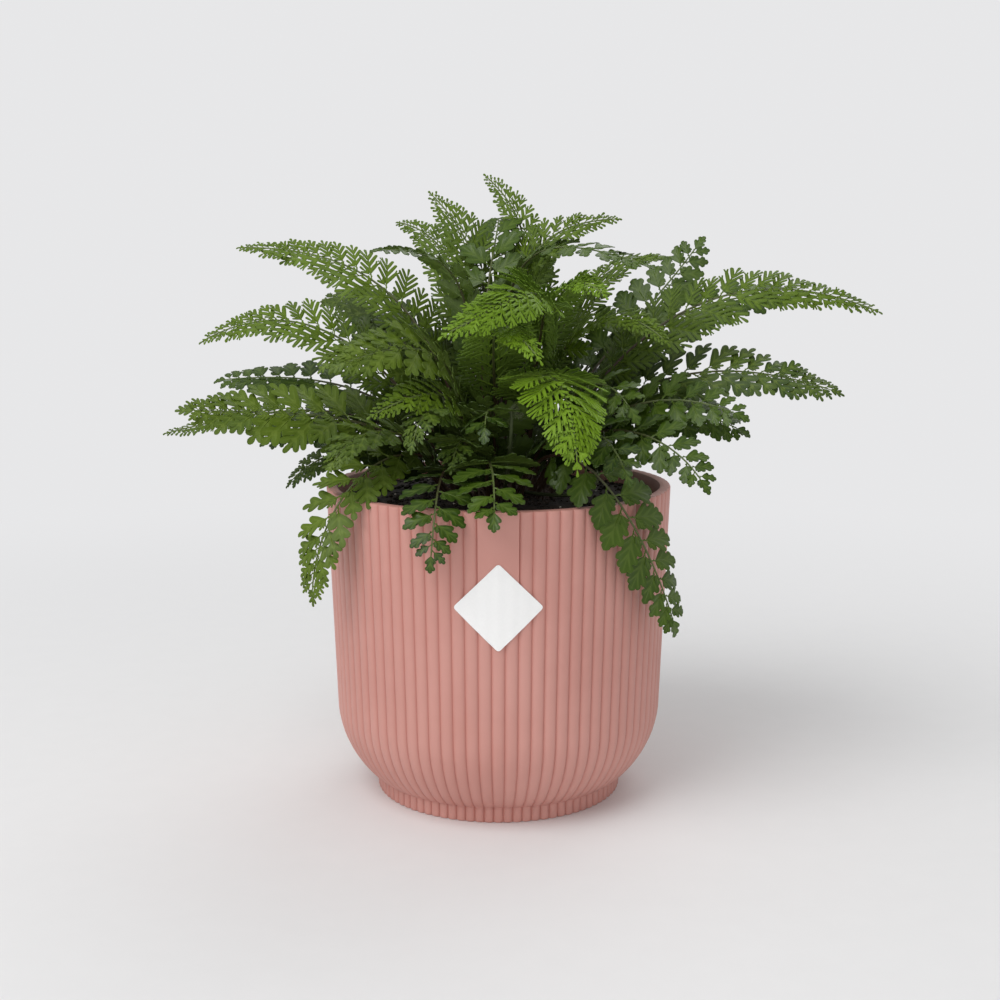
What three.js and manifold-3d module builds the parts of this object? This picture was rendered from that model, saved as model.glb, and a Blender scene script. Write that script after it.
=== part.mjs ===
// A small-leaved fern in a round ribbed pot, in millimetres, +Z up.
// The origin is the middle of the flat underside of the pot; -Y is the front, where the label is.
// Every frond is one closed solid: a three-sided stalk with its leaflets grown out of its sides.

import * as THREE from "three";
import { mergeVertices } from "three/addons/utils/BufferGeometryUtils.js";
import Module from "manifold-3d";

const wasm = await Module();
wasm.setup();

// ---------------------------------------------------------------- driving dimensions

const GAP = 0.3; // between pieces that touch

// pot
const POT_HEIGHT = 167;
const RIM_RADIUS = 92.3; // over the crests of the ribs
const WALL_FOOT_RADIUS = 88; // where the tapered wall meets the round belly
const BELLY_TOP = 50;
const BELLY_ROUNDNESS = 0.82; // 0.5 would be a quarter of an ellipse, less is fuller
const FOOT_RADIUS = 66.6;
const FOOT_HEIGHT = 8;
const RIBS = 84;
const RIB_DEPTH = 1.2;
const RIB_SHOULDER = 0.26; // share of a rib's width where its rounded top starts
const WALL = 5.9;
const FLOOR = 8;
const PANEL_RIBS = 3; // the smooth strip above the label is this wide
const PANEL_LOW = 112;
const PANEL_HIGH = 126;
const BORE_SIDES = 42;

// label, a blank square standing on one corner
const LABEL_SIDE = 31.5;
const LABEL_HEIGHT = 119.5; // of its middle
const LABEL_THICKNESS = 0.6;
const LABEL_CELLS = 4;

// soil and crown
const SOIL_TOP = 159;
const SOIL_MOUND = 3;
const CROWN_RADIUS = 35;
const CROWN_TOP = 169;
const CROWN_BOTTOM = 149;
const CROWN_SIDES = 12;
const SEAT_HEIGHT = 165; // where the stalks leave the crown
const SEAT_DEPTH = 9; // how far a stalk goes on into it

// stalks
const STALK_WIDTH = 2.4; // at the crown
const RIB_WIDTH = 1.3; // near the tip of the frond
const STALK_STEPS = 3;
const SOCKET_SWELL = 0.65; // corners of a hole in the crown lie this far outside the stalk's

// croziers
const CROZIER_STEPS = 5;
const COIL_STEPS = 13;
const COIL_TURNS = 1.2;

// leaflets
const BLADE_THICKNESS = 1.2; // at the midrib
const SHORTEST_LEAFLET = 9;
const LEAFLET_CLOSING = 1.25; // 1 spaces them evenly, more sets them closer towards the tip
const BLADE_END = 0.97; // share of the frond's line where the leaflet at the tip starts
const LEAFLET_RISE = 6; // degrees that leaflets stand up from the blade's plane
const CLEARANCE = 0.35; // that a leaflet keeps from other fronds
const SLIM = 0.05; // and from its own
const SLIVER = 2e-4; // a shared volume this small is only rounding
const BENDS = [0, 10, -10, 20, -20, 30, -30, 40]; // degrees a leaflet may be bent clear
const LENGTHS = [1, 0.8, 0.62]; // shares of its length it may be grown to

// Outline of a leaflet, from its rear root round its tip to its front root: [along, across] in
// shares of its length. Lobes and notches alternate.
const OUTLINES = {
  fine: [[0.36, -0.21], [0.52, -0.09], [1, 0.03], [0.6, 0.1], [0.44, 0.22]],
  cut: [[0.42, -0.25], [0.62, -0.12], [1, 0.02], [0.7, 0.14], [0.5, 0.27]],
  broad: [[0.4, -0.27], [0.78, -0.24], [1, 0.03], [0.84, 0.25], [0.46, 0.3]],
};

const COLOURS = {
  pot: 0xc98079,
  label: 0xf4f4f2,
  soil: 0x1d1613,
  crown: 0x3a2a1c,
  crozier: 0x8ea35a,
  fine: 0x557f2c,
  cut: 0x4c7a2e,
  broad: 0x2f5a22,
};

// The fronds, the front and sides before the back. Columns: name, kind of leaflet; seat (distance
// from the axis, angle); tip (heading, distance from the axis, height); slope at the crown and
// how far it holds; slope at the tip and how far it holds; turn of the tip away from the
// heading; roll of the blade (positive lifts its right side); share of the length that is bare
// stalk; length of the longest leaflet; pairs of leaflets. Angles are in degrees, headings are
// counted from +X towards +Y.
const FRONDS = [
  ["left_low_cut", "cut", 24, -168, -164, 161, 211, 52, 0.42, 5, 0.4, 0, 50, 0.2, 33, 7],
  ["left_low_dark", "fine", 24, 176, 178, 180, 193, 55, 0.42, -14, 0.4, 0, 35, 0.3, 22, 6],
  ["left_back_broad", "broad", 24, 158, 162, 164, 218, 60, 0.42, -6, 0.4, 0, 30, 0.26, 22, 5],
  ["left_mid_fine", "fine", 17, 174, 173, 162, 242, 60, 0.48, -28, 0.42, 0, 45, 0.27, 29, 6],
  ["left_high_fine", "fine", 11, 165, 163, 150, 292, 76, 0.55, 0, 0.42, 0, 40, 0.32, 28, 6],
  ["left_deep_cut", "cut", 24, 138, 140, 132, 262, 68, 0.45, -10, 0.4, 0, 35, 0.24, 29, 5],
  ["top_left_fine", "fine", 9, 100, 140, 47, 320, 92, 0.62, 38, 0.3, 0, 50, 0.38, 27, 5],
  ["top_left_back", "fine", 14, 130, 133, 83, 306, 82, 0.55, 8, 0.4, 0, 40, 0.3, 25, 5],
  ["top_fine", "fine", 8, 30, 98, 45, 330, 82, 0.62, 40, 0.25, 60, 45, 0.4, 23, 5],
  ["top_right_fine", "fine", 3, -20, 9, 64, 307, 88, 0.6, 2, 0.42, 0, -45, 0.34, 25, 5],
  ["top_right_broad", "broad", 6, -120, -29, 83, 284, 96, 0.8, -18, 0.55, 15, -10, 0.3, 21, 5],
  ["top_left_broad", "broad", 11, -150, -139, 77, 291, 86, 0.7, 0, 0.45, 0, 10, 0.3, 21, 5],
  ["front_arch_long", "fine", 10, -50, -102, 118, 253, 74, 0.9, -24, 0.5, -52, 30, 0.3, 28, 6],
  ["front_left_cut", "cut", 17, -135, -129, 116, 238, 78, 0.5, -20, 0.5, -35, 42, 0.3, 31, 6],
  ["front_left_fine", "fine", 18, -112, -122, 112, 214, 68, 0.5, -26, 0.45, -32, 38, 0.22, 25, 5],
  ["front_dark_cut", "cut", 24, -100, -113, 103, 202, 72, 0.45, -58, 0.45, 0, 0, 0.18, 26, 5],
  ["front_bright_fine", "fine", 19, -66, -74, 130, 196, 76, 0.8, -76, 0.4, 0, 0, 0.36, 33, 8],
  ["front_arch_fine", "fine", 13, -90, -80, 106, 242, 80, 0.62, -42, 0.45, 40, 0, 0.34, 28, 5],
  ["front_small_fine", "fine", 16, -36, -61, 103, 270, 80, 0.6, -24, 0.4, 0, -20, 0.4, 22, 4],
  ["right_high_broad", "broad", 15, 8, 18, 114, 292, 66, 0.45, 52, 0.32, 0, -45, 0.34, 24, 5],
  ["right_back_broad", "broad", 22, 10, 12, 168, 267, 63, 0.5, 0, 0.4, 0, -35, 0.36, 23, 6],
  ["right_mid_fine", "fine", 17, -14, -3, 199, 259, 62, 0.5, -22, 0.42, 0, -45, 0.33, 29, 7],
  ["right_low_cut", "cut", 24, -4, -8, 175, 219, 62, 0.46, -18, 0.4, 0, -45, 0.3, 28, 6],
  ["right_front_broad", "broad", 24, -24, -23, 129, 210, 62, 0.42, -20, 0.4, 0, -45, 0.18, 23, 5],
  ["right_droop_broad", "broad", 25, -42, -37, 124, 180, 64, 0.5, -50, 0.4, 0, -40, 0.16, 23, 5],
  ["front_right_dark", "broad", 25, -60, -57, 110, 188, 72, 0.42, -55, 0.45, 0, -25, 0.14, 25, 3],
  ["rim_right_broad", "broad", 30, -72, -34, 107, 105, 44, 0.9, -70, 0.54, 66, -70, 0.32, 24, 7],
  ["rim_front_broad", "broad", 30, -100, -91, 109, 170, 60, 0.4, -45, 0.45, 0, 0, 0.14, 22, 4],
  ["rim_front_dark", "broad", 29, -122, -107, 109, 148, 50, 0.5, -74, 0.42, 0, 0, 0.26, 18, 4],
  ["rim_left_cut", "cut", 24, -148, -146, 113, 121, 58, 0.55, -86, 0.56, 0, 20, 0.2, 30, 6],
  ["left_droop_dark", "cut", 30, 172, 175, 113, 167, 48, 0.42, -45, 0.4, 0, 35, 0.12, 23, 3],
  ["inner_left_cut", "cut", 18, -158, -156, 94, 234, 72, 0.5, -34, 0.4, 0, 40, 0.14, 28, 3],
  ["inner_left_broad", "broad", 18, 150, 150, 100, 248, 74, 0.5, -6, 0.4, 0, 35, 0.16, 23, 3],
  ["low_left_broad", "broad", 31, -170, -174, 120, 193, 56, 0.42, -28, 0.4, 0, 40, 0.12, 23, 3],
  ["low_front_cut", "cut", 31, -138, -140, 106, 188, 66, 0.42, -52, 0.45, 0, 20, 0.12, 27, 4],
  ["inner_front_broad", "broad", 30, -92, -95, 76, 206, 80, 0.5, -42, 0.5, 0, 0, 0.12, 25, 4],
  ["inner_front_cut", "cut", 31, -112, -106, 80, 190, 74, 0.45, -50, 0.45, 0, 0, 0.1, 26, 4],
  ["inner_right_fine", "fine", 10, -12, -34, 100, 246, 82, 0.55, -40, 0.45, 0, -30, 0.22, 26, 4],
  ["inner_right_broad", "broad", 21, -34, -44, 90, 214, 76, 0.5, -50, 0.45, 0, -30, 0.14, 25, 4],
  ["low_right_broad", "broad", 31, 8, 4, 130, 195, 58, 0.42, -28, 0.4, 0, -42, 0.12, 24, 3],
  ["inner_back_cut", "cut", 20, 62, 62, 104, 252, 74, 0.5, -8, 0.4, 0, 0, 0.14, 29, 3],
  ["inner_back_fine", "fine", 20, 128, 124, 108, 244, 72, 0.5, -8, 0.4, 0, 0, 0.14, 28, 3],
  ["back_left_low", "cut", 31, 138, 142, 136, 190, 54, 0.42, -34, 0.4, 0, 10, 0.12, 27, 3],
  ["back_right_rim", "broad", 31, 44, 42, 134, 186, 54, 0.42, -38, 0.4, 0, -10, 0.12, 24, 3],
  ["top_back_broad", "broad", 12, -118, 90, 58, 308, 80, 0.62, 12, 0.4, 0, 10, 0.36, 23, 4],
  ["back_right_high", "fine", 14, 50, 34, 128, 284, 74, 0.5, -14, 0.4, 0, -10, 0.26, 28, 5],
  ["back_right_mid", "cut", 24, 40, 48, 150, 240, 64, 0.45, -10, 0.4, 0, 12, 0.18, 29, 3],
  ["back_right_low", "broad", 27, 26, 26, 150, 196, 54, 0.42, -32, 0.4, 0, -8, 0.14, 24, 3],
  ["back_high", "broad", 15, 90, 72, 110, 290, 78, 0.5, -16, 0.4, 0, 10, 0.26, 24, 4],
  ["back_low_cut", "cut", 24, 78, 84, 150, 212, 58, 0.42, -30, 0.4, 0, -12, 0.14, 30, 3],
  ["back_mid_fine", "fine", 19, 104, 104, 122, 262, 72, 0.5, -22, 0.4, 0, 8, 0.2, 28, 4],
  ["back_left_broad", "broad", 24, 118, 120, 152, 222, 60, 0.42, -28, 0.4, 0, 14, 0.14, 24, 3],
  ["back_rim_broad", "broad", 27, 98, 98, 128, 180, 48, 0.42, -40, 0.4, 0, 0, 0.16, 23, 3],
  ["back_rim_cut", "cut", 27, 58, 60, 126, 174, 50, 0.42, -45, 0.4, 0, 0, 0.16, 25, 3],
].map(
  ([name, kind, seatRadius, seatAngle, heading, reach, height, launch, rise, landing, run, turn,
    roll, bare, leaflet, pairs], index) => ({
    name, kind, seatRadius, seatAngle, heading, reach, height, launch, rise, landing, run, turn,
    roll, bare, leaflet, pairs, index,
  }),
);

// Young fronds still rolled up: name, seat radius, seat angle, reach, height, coil radius
const CROZIERS = [
  ["crozier_tall", 25, -84, 62, 212, 3.6],
  ["crozier_low", 31, -51, 76, 178, 3.4],
];

// ---------------------------------------------------------------- helpers

const UP = new THREE.Vector3(0, 0, 1);
const radians = THREE.MathUtils.degToRad;

// A point or direction from a distance or length, a heading and a height, in degrees
const polar = (radius, angle, height = 0) =>
  new THREE.Vector3(radius * Math.cos(radians(angle)), radius * Math.sin(radians(angle)), height);

// A direction from its heading and its slope above the horizontal
const direction = (heading, slope) =>
  polar(Math.cos(radians(slope)), heading, Math.sin(radians(slope)));

// a times the vector u, plus b times the vector v
const mix = (u, a, v, b) => u.clone().multiplyScalar(a).addScaledVector(v, b);

// Repeatable random numbers from 0 to 1
function dice(seed) {
  let state = seed * 2654435761 + 12345;
  return () => {
    state = (Math.imul(state ^ (state >>> 15), 0x2c1b3c6d) + 0x9e3779b9) | 0;
    return ((state ^ (state >>> 13)) >>> 0) / 4294967296;
  };
}

// A list of corners and faces that grows
class Shell {
  constructor() {
    this.points = [];
    this.faces = [];
  }
  point(vector) {
    this.points.push(vector);
    return this.points.length - 1;
  }
  face(a, b, c) {
    this.faces.push([a, b, c]);
  }
  quad(a, b, c, d) {
    this.face(a, b, c);
    this.face(a, c, d);
  }
  fan(centre, ring) {
    for (let i = 0; i + 1 < ring.length; i += 1) this.face(centre, ring[i], ring[i + 1]);
  }
  geometry() {
    const positions = this.points.flatMap((p) => [p.x, p.y, p.z]);
    const geometry = new THREE.BufferGeometry();
    geometry.setAttribute("position", new THREE.Float32BufferAttribute(positions, 3));
    geometry.setIndex(this.faces.flat());
    return geometry;
  }
}

function solidOf(geometry) {
  const bare = geometry.clone();
  bare.deleteAttribute("normal");
  bare.deleteAttribute("uv");
  const merged = mergeVertices(bare, 1e-4);
  const mesh = new wasm.Mesh({
    numProp: 3,
    vertProperties: new Float32Array(merged.attributes.position.array),
    triVerts: new Uint32Array(merged.index.array),
  });
  return new wasm.Manifold(mesh);
}

function geometryOf(solid) {
  const mesh = solid.getMesh();
  const geometry = new THREE.BufferGeometry();
  geometry.setAttribute("position", new THREE.BufferAttribute(mesh.vertProperties, 3));
  geometry.setIndex(new THREE.BufferAttribute(mesh.triVerts, 1));
  return geometry;
}

function pieceOf(name, geometry, colour, roughness) {
  const flat = geometry.index ? geometry.toNonIndexed() : geometry;
  flat.computeVertexNormals();
  const material = new THREE.MeshStandardMaterial({
    color: colour,
    roughness,
    metalness: 0,
    flatShading: true,
  });
  const mesh = new THREE.Mesh(flat, material);
  mesh.name = name;
  return mesh;
}

// ---------------------------------------------------------------- pot, label, soil, crown

// Radius over the crests of the ribs: a straight tapered wall above the round belly
function crestRadius(height) {
  if (height >= BELLY_TOP) {
    const share = (height - BELLY_TOP) / (POT_HEIGHT - BELLY_TOP);
    return THREE.MathUtils.lerp(WALL_FOOT_RADIUS, RIM_RADIUS, share);
  }
  if (height <= FOOT_HEIGHT) return FOOT_RADIUS;
  const share = (height - FOOT_HEIGHT) / (BELLY_TOP - FOOT_HEIGHT);
  const swell = Math.pow(1 - Math.pow(1 - share, 2), BELLY_ROUNDNESS);
  return THREE.MathUtils.lerp(FOOT_RADIUS, WALL_FOOT_RADIUS, swell);
}

// One level of the ribbed outside: a groove, then the two shoulders of the rib, all the way round
function ribbedRing(shell, height) {
  const crest = crestRadius(height);
  const ring = [];
  for (let rib = 0; rib < RIBS; rib += 1) {
    for (const share of [0, RIB_SHOULDER, 1 - RIB_SHOULDER]) {
      const turn = (rib + share - 0.5) / RIBS;
      const offset = rib > RIBS / 2 ? rib - RIBS : rib;
      const inPanel = Math.abs(offset - 0.5) < PANEL_RIBS / 2 && height >= PANEL_HIGH;
      const depth = share === 0 && !inPanel ? RIB_DEPTH : 0;
      ring.push(shell.point(polar(crest - depth, -90 + 360 * turn, height)));
    }
  }
  return ring;
}

function smoothRing(shell, radius, height) {
  const ring = [];
  for (let i = 0; i < BORE_SIDES; i += 1) {
    const turn = (i - 0.25) / BORE_SIDES;
    ring.push(shell.point(polar(radius, -90 + 360 * turn, height)));
  }
  return ring;
}

// Two rings with the same number of corners, the upper one second, faces out
function band(shell, low, high) {
  for (let i = 0; i < low.length; i += 1) {
    const next = (i + 1) % low.length;
    shell.quad(low[i], low[next], high[next], high[i]);
  }
}

function pot() {
  const shell = new Shell();
  const levels = [0, FOOT_HEIGHT, 13, 26, BELLY_TOP, PANEL_LOW, PANEL_HIGH, POT_HEIGHT];
  const outer = levels.map((height) => ribbedRing(shell, height));
  outer.slice(1).forEach((ring, i) => band(shell, outer[i], ring));

  const rim = outer.at(-1);
  const inner = [
    smoothRing(shell, RIM_RADIUS - WALL, POT_HEIGHT),
    smoothRing(shell, WALL_FOOT_RADIUS - WALL, BELLY_TOP),
    smoothRing(shell, crestRadius(26) - WALL, 26),
    smoothRing(shell, FOOT_RADIUS - WALL, FLOOR),
  ];
  const share = rim.length / BORE_SIDES;
  for (let i = 0; i < BORE_SIDES; i += 1) {
    const here = inner[0][i];
    const next = inner[0][(i + 1) % BORE_SIDES];
    for (let j = 0; j < share; j += 1) {
      const at = i * share + j;
      shell.face(here, rim[at], rim[(at + 1) % rim.length]);
    }
    shell.face(here, rim[((i + 1) * share) % rim.length], next);
  }
  inner.slice(1).forEach((ring, i) => band(shell, inner[i], ring));
  const floor = shell.point(new THREE.Vector3(0, 0, FLOOR));
  shell.fan(floor, [...inner.at(-1), inner.at(-1)[0]]);
  const under = shell.point(new THREE.Vector3(0, 0, 0));
  shell.fan(under, [...outer[0], outer[0][0]].reverse());
  return shell.geometry();
}

// A bent square of card on its corner, laid round the crests of the ribs
function label() {
  const shell = new Shell();
  const half = LABEL_SIDE / Math.SQRT2;
  const layer = (lift) => {
    const grid = [];
    for (let row = 0; row <= LABEL_CELLS; row += 1) {
      for (let column = 0; column <= LABEL_CELLS; column += 1) {
        const across = half * ((row - column) / LABEL_CELLS);
        const height = LABEL_HEIGHT + half * ((row + column) / LABEL_CELLS - 1);
        const radius = crestRadius(height) + GAP + lift;
        const angle = -90 + THREE.MathUtils.radToDeg(across / crestRadius(height));
        grid.push(shell.point(polar(radius, angle, height)));
      }
    }
    return (row, column) => grid[row * (LABEL_CELLS + 1) + column];
  };
  const back = layer(0);
  const front = layer(LABEL_THICKNESS);
  for (let row = 0; row < LABEL_CELLS; row += 1) {
    for (let column = 0; column < LABEL_CELLS; column += 1) {
      const corners = [[row, column], [row + 1, column], [row + 1, column + 1], [row, column + 1]];
      shell.quad(...corners.map(([r, c]) => front(r, c)));
      shell.quad(...corners.map(([r, c]) => back(r, c)).reverse());
    }
  }
  const edge = [];
  for (let i = 0; i < LABEL_CELLS; i += 1) edge.push([i, 0]);
  for (let i = 0; i < LABEL_CELLS; i += 1) edge.push([LABEL_CELLS, i]);
  for (let i = LABEL_CELLS; i > 0; i -= 1) edge.push([i, LABEL_CELLS]);
  for (let i = LABEL_CELLS; i > 0; i -= 1) edge.push([0, i]);
  edge.forEach(([r, c], i) => {
    const [nextR, nextC] = edge[(i + 1) % edge.length];
    shell.quad(back(r, c), back(nextR, nextC), front(nextR, nextC), front(r, c));
  });
  return shell.geometry();
}

// The soil fills the pot, with a shallow pocket in the middle for the crown
function soil() {
  const inset = WALL + GAP + 0.3;
  const profile = [
    [0, CROWN_BOTTOM - GAP],
    [CROWN_RADIUS - 2 + GAP, CROWN_BOTTOM - GAP],
    [CROWN_RADIUS + GAP, SOIL_TOP + SOIL_MOUND],
    [crestRadius(SOIL_TOP) - inset, SOIL_TOP],
    [crestRadius(BELLY_TOP) - inset, BELLY_TOP],
    [crestRadius(26) - inset, 26],
    [FOOT_RADIUS - inset, FLOOR + GAP],
    [0, FLOOR + GAP],
  ];
  const points = profile.map(([radius, height]) => new THREE.Vector2(radius, height));
  return new THREE.LatheGeometry(points.reverse(), BORE_SIDES).rotateX(Math.PI / 2);
}

function crown() {
  const profile = [
    [0, CROWN_BOTTOM],
    [CROWN_RADIUS - 2, CROWN_BOTTOM],
    [CROWN_RADIUS, SOIL_TOP + SOIL_MOUND],
    [CROWN_RADIUS - 5, SOIL_TOP + SOIL_MOUND + 3],
    [16, CROWN_TOP - 1],
    [0, CROWN_TOP],
  ];
  const points = profile.map(([radius, height]) => new THREE.Vector2(radius, height));
  return new THREE.LatheGeometry(points, CROWN_SIDES).rotateX(Math.PI / 2);
}

// ---------------------------------------------------------------- fronds

// The line of the frond's stalk and rib: it leaves the crown steeply and lands at the tip
function lineOf(frond) {
  const from = polar(frond.seatRadius, frond.seatAngle, SEAT_HEIGHT);
  const to = polar(frond.reach, frond.heading, frond.height);
  const span = from.distanceTo(to);
  const leave = direction(frond.seatAngle, frond.launch).multiplyScalar(frond.rise * span);
  const land = direction(frond.heading + frond.turn, frond.landing).multiplyScalar(frond.run * span);
  return new THREE.CubicBezierCurve3(from, from.clone().add(leave), to.clone().sub(land), to);
}

// Directions along, to the right of and out of the upper face of the frond at a share of its line
function frameAt(frond, line, share) {
  const along = line.getTangent(share);
  const flow = line.v3.clone().sub(line.v1).setZ(0).normalize();
  const level = flow.cross(UP);
  const right = level.sub(along.clone().multiplyScalar(level.dot(along))).normalize();
  const lift = right.clone().cross(along);
  const blade = THREE.MathUtils.smoothstep(share, frond.bare * 0.6, frond.bare);
  const roll = radians(frond.roll) * blade;
  const side = right.clone().multiplyScalar(Math.cos(roll)).addScaledVector(lift, Math.sin(roll));
  return { at: line.getPoint(share), along, side, lift: side.clone().cross(along) };
}

// Three corners of the stalk: left and right of its flat top, and its keel
function sectionAt(frame, width) {
  const corner = (across, rise) =>
    frame.at.clone().addScaledVector(frame.side, across).addScaledVector(frame.lift, rise);
  return [
    corner(-width / 2, width * 0.3),
    corner(width / 2, width * 0.3),
    corner(0, -BLADE_THICKNESS * 0.35 - width * 0.3),
  ];
}

// How wide the stalk is at a share of the frond's line
const stalkWidth = (share) => THREE.MathUtils.lerp(STALK_WIDTH, RIB_WIDTH, Math.sqrt(share));

// Where the stalk has its sections: a few below the blade, then two for each pair of leaflets
function sharesOf(frond) {
  const shares = [];
  for (let i = 0; i < STALK_STEPS; i += 1) shares.push((frond.bare * i) / STALK_STEPS);
  const places = frond.pairs * 2;
  for (let i = 0; i <= places; i += 1) {
    const along = 1 - Math.pow(1 - i / places, LEAFLET_CLOSING);
    shares.push(THREE.MathUtils.lerp(frond.bare, BLADE_END, along));
  }
  return shares;
}

// Leaflets are longest a quarter of the way up the blade and short at its tip
const leafletShare = (along) => (1 - 0.35 * (1 - along) ** 4) * (1 - 0.74 * along ** 2.2);

// One leaflet's corners. The root is the stretch of the stalk's side between two sections;
// the teeth lie in a plane through it, bent down towards the tip and turned like a shingle.
function leafletAt(frond, frame, right, growth, random) {
  const { bend, stretch } = growth;
  const along = (frame.share - frond.bare) / (BLADE_END - frond.bare);
  const grown = frond.leaflet * leafletShare(along) * (0.94 + 0.12 * random[0]) * stretch;
  const length = Math.max(grown, SHORTEST_LEAFLET);
  const lean = radians(62 - 14 * along + 8 * (random[1] - 0.5));
  const side = frame.side.clone().multiplyScalar(right ? 1 : -1);
  const lifted = side
    .clone()
    .applyAxisAngle(frame.along, radians((right ? -1 : 1) * (bend + LEAFLET_RISE)));
  const reach = mix(frame.along, Math.cos(lean), lifted, Math.sin(lean));
  const flat = mix(frame.along, Math.sin(lean), lifted, -Math.cos(lean));
  const shingle = radians(14 + 10 * (random[2] - 0.5));
  const normal = right ? reach.clone().cross(flat) : flat.clone().cross(reach);
  const across = mix(flat, Math.cos(shingle), normal, Math.sin(shingle));
  const corner = (a, b, rise = 0) =>
    frame.at
      .clone()
      .addScaledVector(side, RIB_WIDTH / 2)
      .addScaledVector(reach, a * length)
      .addScaledVector(across, b * length)
      .addScaledVector(normal, rise - 0.16 * a * a * length);
  return {
    teeth: OUTLINES[frond.kind].map(([a, b]) => corner(a, b)),
    top: corner(0.4, 0, BLADE_THICKNESS / 2),
    base: corner(0.4, 0, -BLADE_THICKNESS / 2),
    normal,
  };
}

// Join a leaflet to the shell between the rear and front sections of the stalk
function growLeaflet(shell, leaflet, rear, front, right) {
  const edge = right ? 1 : 0;
  const top = shell.point(leaflet.top);
  const base = shell.point(leaflet.base);
  const teeth = leaflet.teeth.map((tooth) => shell.point(tooth));
  const upper = [rear[edge], ...teeth, front[edge], rear[edge]];
  const lower = [rear[2], ...teeth, front[2], rear[2]];
  shell.fan(top, right ? upper : upper.reverse());
  shell.fan(base, right ? lower.reverse() : lower);
  const ends = [
    [rear[edge], rear[2], teeth[0]],
    [front[2], front[edge], teeth.at(-1)],
  ];
  for (const [a, b, c] of ends) {
    if (right) shell.face(a, b, c);
    else shell.face(b, a, c);
  }
}

// The same leaflet by itself and a little swollen, to test that it is clear of other fronds
function leafletGuard(leaflet, rear, front, right, swell) {
  const shell = new Shell();
  const section = (corners) => corners.map((corner) => shell.point(corner.clone()));
  const a = section(rear);
  const b = section(front);
  const middle = leaflet.top.clone().add(leaflet.base).multiplyScalar(0.5);
  const teeth = leaflet.teeth.map((tooth) => {
    const out = tooth.clone().sub(middle).setLength(swell);
    return out.add(tooth);
  });
  growLeaflet(
    shell,
    {
      teeth,
      top: leaflet.top.clone().addScaledVector(leaflet.normal, swell),
      base: leaflet.base.clone().addScaledVector(leaflet.normal, -swell),
    },
    a,
    b,
    right,
  );
  const edge = right ? 1 : 0;
  if (right) shell.quad(a[edge], b[edge], b[2], a[2]);
  else shell.quad(b[edge], a[edge], a[2], b[2]);
  return shell;
}

// The bare stalk and rib of a frond, used to keep other fronds' leaflets away from it
function stalkGuard(sections, swell) {
  const shell = new Shell();
  const rings = sections.map((corners) => {
    const middle = corners[0].clone().add(corners[1]).add(corners[2]).divideScalar(3);
    return corners.map((corner) =>
      shell.point(corner.clone().add(corner.clone().sub(middle).setLength(swell))),
    );
  });
  shell.face(rings[0][0], rings[0][2], rings[0][1]);
  rings.slice(1).forEach((ring, i) => tubeBand(shell, rings[i], ring, true, true));
  const last = rings.at(-1);
  shell.face(last[0], last[1], last[2]);
  return shell;
}

// The sides of the stalk between two sections; a side where a leaflet grows stays open
function tubeBand(shell, rear, front, leftWall, rightWall) {
  shell.quad(rear[0], rear[1], front[1], front[0]);
  if (rightWall) shell.quad(rear[1], rear[2], front[2], front[1]);
  if (leftWall) shell.quad(rear[2], rear[0], front[0], front[2]);
}

// What is already in place, as solids with their boxes
class Obstacles {
  constructor() {
    this.items = [];
  }
  add(owner, shell) {
    this.addSolid(owner, solidOf(shell.geometry()));
  }
  addSolid(owner, solid) {
    const { min, max } = solid.boundingBox();
    const box = new THREE.Box3(new THREE.Vector3(...min), new THREE.Vector3(...max));
    this.items.push({ owner, box, solid });
  }
  hit(shell, ignore) {
    const box = new THREE.Box3().setFromPoints(shell.points);
    const near = this.items.filter((item) => item.owner !== ignore && item.box.intersectsBox(box));
    if (near.length === 0) return false;
    const solid = solidOf(shell.geometry());
    const blocked = near.some((item) => meet(solid, item.solid));
    solid.delete();
    return blocked;
  }
}

// Stalk sections of a frond, with the shares of its line where they are
function skeletonOf(frond) {
  const line = lineOf(frond);
  const shares = sharesOf(frond);
  const frames = shares.map((share) => ({ ...frameAt(frond, line, share), share }));
  const sections = frames.map((frame) => sectionAt(frame, stalkWidth(frame.share)));
  const first = frames[0];
  const buried = { ...first, at: first.at.clone().addScaledVector(first.along, -SEAT_DEPTH) };
  sections.unshift(sectionAt(buried, STALK_WIDTH));
  return { frond, frames, sections };
}

// The frond as one closed shell, each leaflet bent clear of what is already there
function frondShell(skeleton, obstacles) {
  const { frond, frames, sections } = skeleton;
  const shell = new Shell();
  const rings = sections.map((corners) => corners.map((corner) => shell.point(corner)));
  shell.face(rings[0][0], rings[0][2], rings[0][1]);
  const firstLeaf = STALK_STEPS + 1;
  const random = dice(frond.index + 1);
  const own = [tipGuard(skeleton), stalkGuard(sections, 0)].map((guard) => solidOf(guard.geometry()));
  rings.slice(1).forEach((front, i) => {
    const rear = rings[i];
    const place = i - firstLeaf;
    if (place < 0) {
      tubeBand(shell, rear, front, true, true);
      return;
    }
    const right = place % 2 === 0;
    const draws = [random(), random(), random()];
    const middle = { ...frames[i - 1] };
    middle.at = frames[i - 1].at.clone().lerp(frames[i].at, 0.5);
    const roots = [sections[i], sections[i + 1]];
    const leaflet = clearLeaflet(frond, middle, right, draws, roots, obstacles, own);
    tubeBand(shell, rear, front, right || !leaflet, !right || !leaflet);
    if (leaflet) growLeaflet(shell, leaflet, rear, front, right);
  });
  growTip(shell, frond, frames.at(-1), rings.at(-1));
  return shell;
}

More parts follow.
